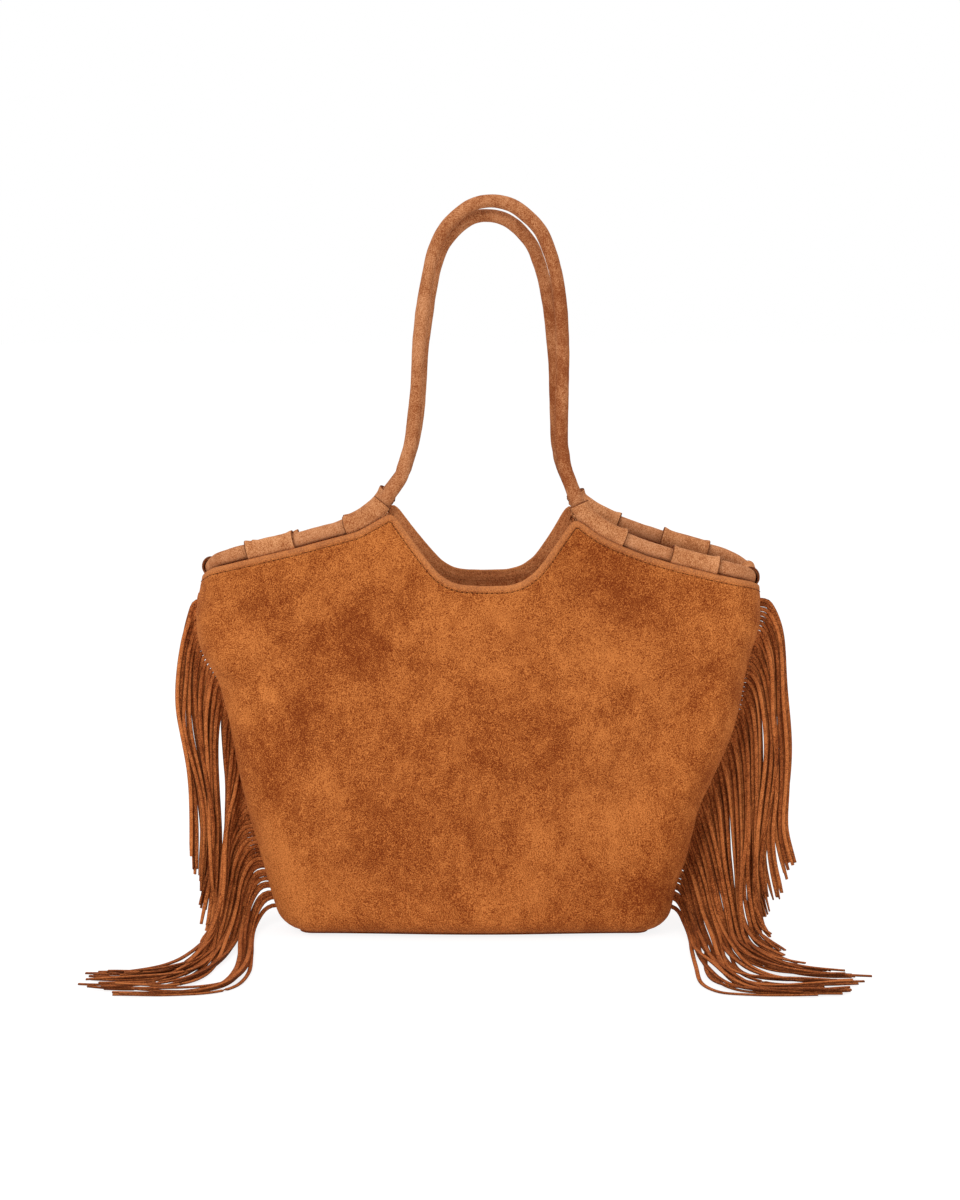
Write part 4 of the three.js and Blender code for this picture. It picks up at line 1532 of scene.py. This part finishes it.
LEFT_GUIDES = (
    StrandGuide(15, ((165, 0, 15), (173, -3, 15), (179, -10, 12), (183, -28, 6), (184, -62, 3),
                     (184, -104, 3), (185, -142, 3), (193, -174, 3), (210, -189, 3), (238, -195, 3),
                     (268, -195, 3))),
    StrandGuide(36, ((171, 0, 36), (181, -2, 36), (187, -4, 30), (191, -12, 18), (191, -34, 7),
                     (190, -77, 3), (193, -128, 3), (203, -168, 3), (226, -187, 3), (254, -194, 3),
                     (284, -193, 3))),
    StrandGuide(60, ((177.5, 0, 60), (189, -1, 58), (196, -3, 48), (199, -7, 34), (200, -16, 20),
                     (202, -45, 5), (205, -102, 3), (211, -150, 3), (228, -178, 3), (256, -185, 3),
                     (300, -186, 3))),
    StrandGuide(85, ((184.5, 0, 85), (194, -1, 84), (200, -2, 78), (205, -4, 66), (207, -8, 49),
                     (209, -14, 31), (210, -28, 14), (213, -56, 4), (218, -98, 3), (227, -134, 3),
                     (246, -150, 3), (275, -155, 3), (300, -152, 3))),
    StrandGuide(115, ((191, 0, 115), (197, -1, 112), (201, -2, 100), (205, -4, 82), (208, -9, 59),
                      (210, -18, 31), (213, -36, 12), (216, -76, 4), (224, -120, 4), (245, -144, 4),
                      (272, -152, 4))),
    StrandGuide(145, ((196, 0, 145), (199, -1, 140), (200, -2, 117), (204.5, -4, 98), (208, -7, 80),
                      (210, -13, 60), (211, -22, 38), (212, -38, 16), (214, -62, 5), (217, -125, 4),
                      (224, -165, 4), (240, -190, 4))),
    StrandGuide(170, ((201, 0, 170), (205.5, 0, 168), (207, -2, 140), (205.5, -3, 112), (208.5, -5, 82),
                      (211, -9, 50), (214, -17, 22), (217, -36, 6), (219, -80, 3), (224, -125, 3))),
    StrandGuide(183, ((204.5, 0, 183), (209, 0, 181), (210.5, -1, 168), (208, -2, 140), (206, -3, 112),
                      (208, -5, 82), (211, -9, 50), (214, -17, 22), (217, -36, 6), (221, -80, 3))),
    StrandGuide(186, ((206, 0, 186), (211, 0, 184), (214, -1, 170), (214, -2, 140), (213, -3, 112),
                      (213, -5, 82), (214.5, -9, 50), (217, -16, 22), (219, -36, 6), (222, -70, 3))),
    StrandGuide(200, ((209, 0, 200), (213.5, 0, 198), (215.5, -1, 188), (216, -2, 160), (215, -3, 130),
                      (215, -4, 100), (215.5, -6, 70), (216.5, -10, 40), (219, -18, 12), (221, -40, 4),
                      (224, -66, 3))),
    StrandGuide(230, ((224.5, 0, 230), (229.5, 0, 228), (232.5, -1, 218), (233, -2, 194),
                      (231.5, -3, 166), (228.5, -3, 138), (225, -4, 112), (222, -4, 89),
                      (220.5, -5, 58), (222, -9, 25), (223.5, -14, 4))),
    StrandGuide(262, ((228.8, 0, 262), (234, 0, 260), (237.5, -0.5, 251), (240.5, -1, 236),
                      (242.5, -2, 208), (243, -3, 179), (241, -3, 154), (238.5, -3, 130),
                      (236.8, -4, 105), (236, -4, 80), (236, -5, 55), (236, -5, 18))),
)
RIGHT_GUIDES = (
    StrandGuide(17, ((156, 0, 17), (162.5, -3, 15), (166, -10, 12), (168, -22, 7), (169, -54, 3),
                     (169, -88, 3), (171, -124, 3), (177, -165, 3), (190, -187, 3), (206, -194, 3),
                     (232, -196, 3), (262, -195, 3))),
    StrandGuide(45, ((162, 0, 45), (169, -1, 43), (172.5, -4, 35), (174.5, -8, 27), (175.5, -18, 16),
                     (177, -44, 6), (179, -104, 3), (187, -148, 3), (199, -179, 3), (220, -190, 3),
                     (243, -193, 3), (285, -192, 3))),
    StrandGuide(70, ((169, 0, 70), (174.5, -1, 67), (179, -4, 53), (184, -10, 34), (187.5, -20, 16),
                     (190.5, -50, 5), (192.5, -100, 3), (198, -142, 3), (211, -162, 3), (228, -169, 3),
                     (246, -171, 3), (270, -172, 3), (300, -171, 3))),
    StrandGuide(100, ((176, 0, 100), (182, -1, 92), (186.5, -3, 78), (190.5, -7, 60), (196.5, -17, 29),
                      (201.5, -36, 7), (204, -80, 4), (211, -110, 4), (226, -136, 4), (243, -148, 4),
                      (260, -154, 4), (300, -160, 4))),
    StrandGuide(125, ((187.5, 0, 125), (192.5, -0.5, 123), (196, -2, 104), (198, -4, 78), (200, -8, 52),
                      (203, -15, 28), (206.5, -30, 9), (210, -66, 4), (219, -108, 4), (243, -140, 4),
                      (280, -152, 4))),
    StrandGuide(148, ((196.7, 0, 148), (201, -0.5, 146), (205.5, -1.5, 130), (207, -2, 113),
                      (208.5, -4, 90), (210, -8, 52), (210.5, -16, 26), (213, -36, 8), (216, -70, 4),
                      (225, -108, 4), (243, -134, 4), (270, -146, 4))),
    StrandGuide(165, ((204, 0, 165), (208.5, 0, 163.5), (212, -1, 156), (214, -2, 139), (215, -3, 113),
                      (215.5, -4, 88), (214.5, -7, 65), (213, -12, 38), (213.5, -24, 16), (217, -60, 4),
                      (224, -100, 4), (234, -126, 4))),
    StrandGuide(185, ((209, 0, 185), (214.5, 0, 184), (218.5, -1, 177), (221, -2, 158), (222, -3, 113),
                      (222, -4, 90), (220.5, -6, 65), (222.5, -10, 28), (225, -18, 5), (229, -50, 3),
                      (236, -80, 3))),
    StrandGuide(205, ((213, 0, 205), (218.5, 0, 205), (223, -1, 200), (225.5, -1.5, 192),
                      (227.5, -2, 169), (227.8, -3, 145), (227.5, -3, 113), (227, -4, 88),
                      (226, -5, 51), (229, -6, 19), (231, -9, 3))),
    StrandGuide(225, ((217.5, 0, 225), (224, 0, 224.5), (229.5, -1, 218), (232.5, -1.5, 206),
                      (234, -2, 187), (235.5, -3, 158), (235.7, -3, 130), (234, -4, 103),
                      (232.5, -4, 77), (232.6, -5, 51), (237, -5, 31), (243, -6, 13))),
    StrandGuide(245, ((223.5, 0, 245), (230, 0, 241), (234, -1, 231), (237, -2, 212), (239.2, -3, 181),
                      (241, -3, 146), (241.3, -4, 113), (240, -4, 80), (241.6, -5, 56), (245, -5, 35),
                      (248, -5, 20))),
    StrandGuide(267, ((225.7, 0, 267), (231, 0, 267.5), (237, -0.5, 264), (244, -1, 248),
                      (247.8, -2, 224), (250, -3, 194), (251, -3, 158), (250.8, -4, 128),
                      (250.4, -4, 94), (252.5, -4, 77), (260, -5, 54), (265, -5, 40))),
)


STRAND_OUTLINE = ((1.0, 0.0), (0.82, 1.0), (-0.82, 1.0), (-1.0, 0.0), (-0.82, -1.0), (0.82, -1.0))


@dataclass
class Fringe:
    """One strip of suede sewn into a side seam and cut into long narrow strands."""

    form: BodyForm
    side: Side
    guides: tuple[StrandGuide, ...]
    seed: int
    top: float = 269.0
    pitch: float = 3.45
    count: int = 74
    length: float = 285.0
    slant: float = 58.0
    width: float = 3.45
    thickness: float = 1.15
    stations: int = 72
    header: float = 9.0
    header_margin: float = 6.0
    proud: float = 1.0
    root_inset: float = 1.5
    root_share: float = 0.2
    wander: float = 2.2
    own_wander: float = 0.35
    clump: int = 6
    bends: int = 4
    layers: int = 5
    layer_gap: float = 1.5
    loose_pile: float = 1.2
    guide_rest: float = 3.5
    floor_gap: float = 0.4
    landing: tuple[float, float] = (8.0, 60.0)
    laid_flat: tuple[float, float] = (12.0, 45.0)
    fan: float = 3.0
    facing: tuple[float, float] = (1.45, 0.35)
    twist: float = 0.45
    shortest: float = 0.93
    slant_over: tuple[float, float] = (90.0, 235.0)
    width_range: tuple[float, float] = (0.9, 1.04)
    tip_taper: float = 0.2
    reach_out: float = 322.0
    reach_forward: float = 200.0
    ease: float = 18.0

    @property
    def name(self) -> str:
        """The node's name, which the piece's name starts with."""
        return f"fringe_{self.side.name.lower()}"

    def guided(self, root: float, samples: int = 200) -> Array:
        """The way between the two nearest guides.

        Args:
            root: Height of the strand's root.
            samples: How many points come back.

        Returns:
            Points as distance out from the bag's middle, depth and height.
        """
        roots = np.array([guide.root for guide in self.guides], float)
        at = int(np.clip(np.searchsorted(roots, root) - 1, 0, len(roots) - 2))
        share = float(np.clip((root - roots[at]) / (roots[at + 1] - roots[at]), 0, 1))
        low, high = (self.guides[at + i].even_points(samples) for i in (0, 1))
        return low * (1 - share) + high * share

    def kept_within(self, distance: Array, limit: float) -> Array:
        """Distances eased so that none passes a limit.

        Args:
            distance: Distances.
            limit: The limit.

        Returns:
            The same distances, but near the limit and past it drawn in.
        """
        over = np.maximum(distance - (limit - self.ease), 0)
        return np.minimum(distance, limit - self.ease) + self.ease * np.tanh(over / self.ease)

    def sway(self, index: int, walked: Array) -> Array:
        """How a strand strays from its guides together with its neighbours.

        Args:
            index: Which strand, from the top.
            walked: Shares of the strand's length.

        Returns:
            Distances outward and forward.
        """
        draw = np.random.default_rng(self.seed)
        places = np.arange(self.count // self.clump + 3)
        reach = draw.normal(0, 1, (2, self.bends, len(places)))
        share = index / self.clump
        bends = np.array([[np.interp(share, places, row) for row in axis] for axis in reach])
        numbers = np.arange(self.bends)[:, None]
        waves = np.sin(math.pi * (numbers + 1.5) * walked) / (numbers + 1.0)
        return self.wander * bends @ waves

    def fanned(self, way: Array, degrees: float, walked: Array, on_floor: Array) -> None:
        """Turns the part of a strand that lies on the floor.

        Args:
            way: The strand's points, which are changed.
            degrees: How far it turns.
            walked: Shares of its length.
            on_floor: Share of each point that lies on the floor.
        """
        heading = math.radians(degrees) * smoothstep(walked, 0.2, 0.7) * on_floor
        pivot = way[len(way) // 10, :2].copy()
        out, depth = (way[:, :2] - pivot).T
        way[:, 0] = pivot[0] + out * np.cos(heading) - depth * np.sin(heading)
        way[:, 1] = pivot[1] + out * np.sin(heading) + depth * np.cos(heading)

    def strayed(self, way: Array, index: int, walked: Array, draw: np.random.Generator) -> None:
        """Lets a strand stray from its guides, with its neighbours and by itself.

        Args:
            way: The strand's points, which are changed.
            index: Which strand, from the top.
            walked: Shares of its length.
            draw: Random numbers of the fringe.
        """
        sway = self.sway(index, walked)
        own = draw.normal(0, self.own_wander, 2)[:, None]
        own = own * np.sin(math.pi * draw.uniform(1.5, 4) * walked) * self.wander
        way[:, :2] += ((sway + own) * smoothstep(walked, 0.04, 0.4)).T

    def layered(self, way: Array, index: int, walked: Array, on_floor: Array, loose: float) -> None:
        """Puts a strand in its own layer, forward where it hangs and up where it lies.

        Args:
            way: The strand's points, which are changed.
            index: Which strand, from the top.
            walked: Shares of its length.
            on_floor: Share of each point that lies on the floor.
            loose: How much higher it lies than its layer.
        """
        layer = (index * 2) % self.layers * self.layer_gap
        way[:, 1] -= layer * smoothstep(walked, 0.02, 0.12) * (1 - on_floor)
        floor = self.thickness / 2 + self.floor_gap
        pile = layer * (0.55 + 0.45 * np.sin(9.0 * walked + index)) + loose
        way[:, 2] = np.maximum(way[:, 2] + (floor + pile - self.guide_rest) * on_floor, floor)

    def strand_way(self, index: int, draw: np.random.Generator) -> Array:
        """One strand's own way.

        Args:
            index: Which strand, from the top.
            draw: Random numbers of the fringe.

        Returns:
            Points in millimetres.
        """
        root = self.top - index * self.pitch
        way = self.guided(root)
        walked = np.linspace(0, 1, len(way))
        on_floor = 1 - smoothstep(way[:, 2], *self.landing)
        self.fanned(way, draw.normal(0, self.fan), walked, on_floor)
        self.strayed(way, index, walked, draw)
        near_root = 1 - smoothstep(walked, 0.0, self.root_share)
        edge = float(self.form.half(self.side, root)) - self.root_inset
        way[:, 0] += (edge - way[0, 0]) * near_root
        way[:, 2] += (root - way[0, 2]) * near_root
        self.layered(way, index, walked, on_floor, draw.uniform(0, self.loose_pile))
        out = self.side.value * self.kept_within(way[:, 0], self.reach_out)
        forward = self.kept_within(-way[:, 1], self.reach_forward)
        points = np.column_stack([out, -forward, way[:, 2]])
        whole = float(np.linalg.norm(np.diff(points, axis=0), axis=1).sum())
        cut = self.length - self.slant * float(smoothstep(root, *self.slant_over))
        return even(points, self.stations, min(cut * draw.uniform(self.shortest, 1.0), whole))

    def flat_side(self, way: Array, tangent: Array, rooted: Array, draw: np.random.Generator) -> Array:
        """The direction of a strand's width: its own where it hangs, level where it lies.

        Args:
            way: The strand's points.
            tangent: Its directions.
            rooted: Share of each point that is held flat by the seam.
            draw: Random numbers of the fringe.

        Returns:
            Unit vectors across the strand.
        """
        walked = np.linspace(0, 1, len(way))
        turn = draw.normal(*self.facing) + draw.normal(0, self.twist) * walked
        hanging = np.column_stack([np.sin(turn), np.cos(turn), np.zeros(len(way))])
        level = np.cross(tangent, (0.0, 0.0, 1.0)) + 1e-6
        level *= np.where(np.sum(level * hanging, axis=1, keepdims=True) < 0, -1, 1)
        lying = 1 - smoothstep(way[:, 2:], *self.laid_flat)
        wide = hanging * (1 - lying) + unit(level) * lying
        wide = wide * (1 - rooted) + np.cross(tangent, (0.0, 1.0, 0.0)) * rooted
        return unit(wide - tangent * np.sum(wide * tangent, axis=1, keepdims=True))

    def strand(self, index: int, draw: np.random.Generator, parts: MeshParts) -> None:
        """Adds one strand as a flat strip with eased edges.

        Args:
            index: Which strand, from the top.
            draw: Random numbers of the fringe.
            parts: Where it is added.
        """
        way = self.strand_way(index, draw)
        tangent = unit(np.gradient(way, axis=0))
        walked = np.linspace(0, 1, len(way))[:, None]
        rooted = 1 - smoothstep(walked, 0.05, 0.16)
        wide = self.flat_side(way, tangent, rooted, draw)
        thick = np.cross(tangent, wide)
        own_width = self.width * draw.uniform(*self.width_range)
        root_width = self.pitch * self.width_range[1]
        taper = 1 - self.tip_taper * smoothstep(walked, 0.94, 1.0)
        half_wide = (own_width + (root_width - own_width) * rooted) / 2 * taper
        half_thick = self.thickness / 2
        rings = np.stack([way + wide * (a * half_wide) + thick * (b * half_thick)
                          for a, b in STRAND_OUTLINE], axis=1)
        sides = len(STRAND_OUTLINE)
        number = np.arange(len(way) * sides).reshape(len(way), sides)
        beside = np.roll(number, -1, axis=1)
        quads = np.stack([number[:-1], beside[:-1], beside[1:], number[1:]], axis=-1).reshape(-1, 4)
        faces = [tuple(face) for face in quads.tolist()]
        faces += [tuple(number[0][::-1].tolist()), tuple(number[-1].tolist())]
        across = np.array([0.5 + 0.49 * a for a, _ in STRAND_OUTLINE])
        down = walked * self.length * MM
        places = np.stack(np.broadcast_arrays(index + across, down), axis=-1)
        parts.add(rings.reshape(-1, 3), faces, 0, places.reshape(-1, 2))

    def band(self, parts: MeshParts) -> None:
        """Adds the uncut band that lies in the seam.

        Args:
            parts: Where it is added.
        """
        lowest = self.top - (self.count - 1) * self.pitch
        height = np.linspace(lowest - self.header_margin, self.top + self.header_margin, 90)
        half = self.form.half(self.side, height)
        across = np.linspace(-self.header, self.proud, 7)
        x = self.side.value * (half[:, None] + across[None])
        y = np.full_like(x, -self.thickness / 2)
        grid = np.stack([x, y, height[:, None].repeat(len(across), 1)], axis=-1)
        places = np.stack([0 * x + 0.5 + self.count, grid[..., 2] * MM], axis=-1)
        if self.side is Side.LEFT:
            grid, places = grid[:, ::-1], places[:, ::-1]
        parts.add(*sheet_parts(grid, np.full(x.shape, self.thickness), places))

    def build(self) -> bpy.types.Object:
        """Builds the band and its strands.

        Returns:
            The fringe's piece.
        """
        draw = np.random.default_rng(self.seed)
        parts = MeshParts()
        self.band(parts)
        for index in range(self.count):
            self.strand(index, draw, parts)
        return parts.build(f"{self.name}_suede")

    def dress(self, piece: bpy.types.Object) -> None:
        """Finishes and seats the fringe.

        Args:
            piece: The fringe's piece.
        """
        piece.data.materials.append(FRINGE_SUEDE.material())
        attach(piece, "root")
        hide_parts(self.name)
        mean_length = self.length - self.slant / 2
        cut = self.count * self.width * mean_length + self.count * self.pitch * self.header
        cut * MM * MM


# The studio


def background_rays(tree: bpy.types.NodeTree) -> bpy.types.NodeSocket:
    """Marks the rays that show the background: seen straight, mirrored or through glass.

    Args:
        tree: The nodes of the floor or of the world.

    Returns:
        One for such rays and zero for the rest.
    """
    rays = tree.nodes.new("ShaderNodeLightPath")
    seen = rays.outputs["Is Camera Ray"]
    for kind in ("Is Glossy Ray", "Is Transmission Ray"):
        either = tree.nodes.new("ShaderNodeMath")
        either.operation = "MAXIMUM"
        tree.links.new(seen, either.inputs[0])
        tree.links.new(rays.outputs[kind], either.inputs[1])
        seen = either.outputs[0]
    return seen


@dataclass
class Studio:
    """A white floor, soft light from all round and a camera a little above the bag."""

    distance: float = 1.850
    eye: float = 0.534
    pitch: float = 8.138
    lens: float = 69.23
    white: float = 1.0
    shadow_kept: float = 0.3
    floor_glow: float = 1.21
    floor_size: float = 30.0
    floor_drop: float = 0.0004
    ambient: float = 0.62
    ambient_colour: Colour = (1.0, 0.99, 0.975)
    aim: tuple[float, float, float] = (0.0, 0.0, 0.25)

    def camera(self) -> bpy.types.Object:
        """Places the camera.

        Returns:
            The camera.
        """
        data = bpy.data.cameras.new("camera")
        data.lens = self.lens
        data.sensor_width = CAMERA_SENSOR
        camera = bpy.data.objects.new("camera", data)
        camera.location = (0.0, -self.distance, self.eye)
        camera.rotation_euler = (math.radians(90 - self.pitch), 0.0, 0.0)
        bpy.context.scene.collection.objects.link(camera)
        bpy.context.scene.camera = camera
        return camera

    def floor(self) -> bpy.types.Object:
        """Lays the white floor, which keeps a faint shadow.

        Returns:
            The floor.
        """
        bpy.ops.object.select_all(action="DESELECT")
        bpy.ops.mesh.primitive_plane_add(size=self.floor_size, location=(0.0, 0.0, -self.floor_drop))
        floor = bpy.context.object
        floor.name = "studio_floor"
        bpy.ops.object.transform_apply(location=True)
        shader = Shader("studio_white")
        tree = shader.tree
        shader.set(Base_Color=(0.9, 0.9, 0.9, 1.0), Roughness=0.9)
        white = {"Color": (1, 1, 1, 1), "Strength": self.floor_glow}
        glow = shader.node("ShaderNodeEmission", None, white)
        seen = Signal(shader, background_rays(tree))
        mix = shader.node("ShaderNodeMixShader", None, {0: seen * (1.0 - self.shadow_kept)})
        tree.links.new(shader.surface.outputs[0], mix.inputs[1])
        tree.links.new(glow.outputs[0], mix.inputs[2])
        tree.links.new(mix.outputs[0], tree.nodes["Material Output"].inputs["Surface"])
        floor.data.materials.append(shader.material)
        return floor

    def lamp(self, name: str, place: tuple[float, float, float], size: float, power: float) -> None:
        """Adds a soft box that looks at the bag.

        Args:
            name: The lamp's name.
            place: Where it stands, in metres.
            size: Its side.
            power: Its power in watts.
        """
        data = bpy.data.lights.new(name, "AREA")
        data.shape = "SQUARE"
        data.size = size
        data.energy = power
        lamp = bpy.data.objects.new(name, data)
        lamp.location = place
        sight = Vector(self.aim) - Vector(place)
        lamp.rotation_euler = sight.to_track_quat("-Z", "Y").to_euler()
        bpy.context.scene.collection.objects.link(lamp)

    def world(self) -> None:
        """Sets an even light from all round, and white where the camera looks past the floor."""
        world = bpy.data.worlds.new("studio_light")
        bpy.context.scene.world = world
        world.use_nodes = True
        nodes, links = world.node_tree.nodes, world.node_tree.links
        ambient, backdrop = nodes["Background"], nodes.new("ShaderNodeBackground")
        ambient.inputs["Color"].default_value = (*self.ambient_colour, 1.0)
        ambient.inputs["Strength"].default_value = self.ambient
        backdrop.inputs["Strength"].default_value = self.white
        backdrop.inputs["Color"].default_value = (1.0, 1.0, 1.0, 1.0)
        mix = nodes.new("ShaderNodeMixShader")
        links.new(background_rays(world.node_tree), mix.inputs[0])
        links.new(ambient.outputs[0], mix.inputs[1])
        links.new(backdrop.outputs[0], mix.inputs[2])
        links.new(mix.outputs[0], nodes["World Output"].inputs["Surface"])

    def build(self) -> None:
        """Sets up camera, floor and light."""
        self.camera()
        self.floor()
        self.world()
        self.lamp("key", (-1.3, -1.9, 1.7), 1.4, 26.0)
        self.lamp("fill", (1.7, -1.7, 1.0), 1.6, 9.0)
        self.lamp("top", (0.0, 0.3, 2.2), 1.4, 9.0)
        bpy.context.scene.view_settings.view_transform = "Standard"


TAB_STRETCHES = {
    Face.FRONT: {"left_outer": (-186.0, -149.0), "left_inner": (-108.0, -80.0),
                 "right_inner": (78.0, 115.0), "right_outer": (152.0, 187.0)},
    Face.BACK: {"left_outer": (-185.0, -149.0), "left_inner": (-111.0, -77.0),
                "right_inner": (79.0, 114.0), "right_outer": (150.0, 186.0)},
}
SIDE_TAB_REACH = 14.0


def tabs(way: StrapWay) -> list[Tab]:
    """The ten tabs, each with the stretch of strap that it covers.

    Args:
        way: The strap's way.

    Returns:
        The tabs.
    """
    made = [Tab(way, f"tab_{face.name.lower()}_{place}", (face, face), ends)
            for face, stretches in TAB_STRETCHES.items() for place, ends in stretches.items()]
    reach = way.form.seam_run - SIDE_TAB_REACH
    for side in Side:
        ends = (side.value * reach, side.value * reach)
        made.append(Tab(way, f"side_tab_{side.name.lower()}", (Face.FRONT, Face.BACK), ends))
    return made


FRONT_FOLDS = (
    Fold(-182, 262, 46, 13, -4, -2.6),
    Fold(-190, 236, 40, 11, 34, 3.0),
    Fold(-170, 214, 46, 13, 28, -2.2),
    Fold(122, 262, 52, 16, -48, -3.0),
    Fold(146, 252, 60, 13, -42, 2.4),
    Fold(150, 205, 50, 16, -40, 2.2),
    Fold(176, 196, 44, 13, 52, -2.2),
    Fold(-140, 70, 60, 24, 75, 2.2),
    Fold(0, 60, 120, 40, 4, 1.6),
    Fold(-60, 262, 60, 18, 20, -1.2),
)
BACK_FOLDS = (
    Fold(-165, 225, 60, 16, 42, -2.8),
    Fold(-185, 200, 50, 14, 50, 2.4),
    Fold(130, 245, 64, 18, -38, -2.6),
    Fold(155, 215, 60, 15, -45, 2.4),
    Fold(30, 80, 120, 40, -5, 1.8),
)


def main() -> None:
    """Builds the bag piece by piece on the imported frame."""
    logging.basicConfig(level=logging.INFO, format="%(name)s: %(message)s")
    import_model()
    Studio().build()
    form = BodyForm()
    way = StrapWay(form)
    front = Panel(form, Face.FRONT, folds=FRONT_FOLDS)
    back = Panel(form, Face.BACK, folds=BACK_FOLDS)
    makers = [front, back, HemThread(front), HemThread(back), BasePanel(form), Strap(way), *tabs(way),
              Fringe(form, Side.LEFT, LEFT_GUIDES, seed=21), Fringe(form, Side.RIGHT, RIGHT_GUIDES, seed=34)]
    for maker in makers:
        piece = maker.build()
        maker.dress(piece)
        LOG.info("%s: %d faces", piece.name, len(piece.data.polygons))


if __name__ == "__main__":
    main()
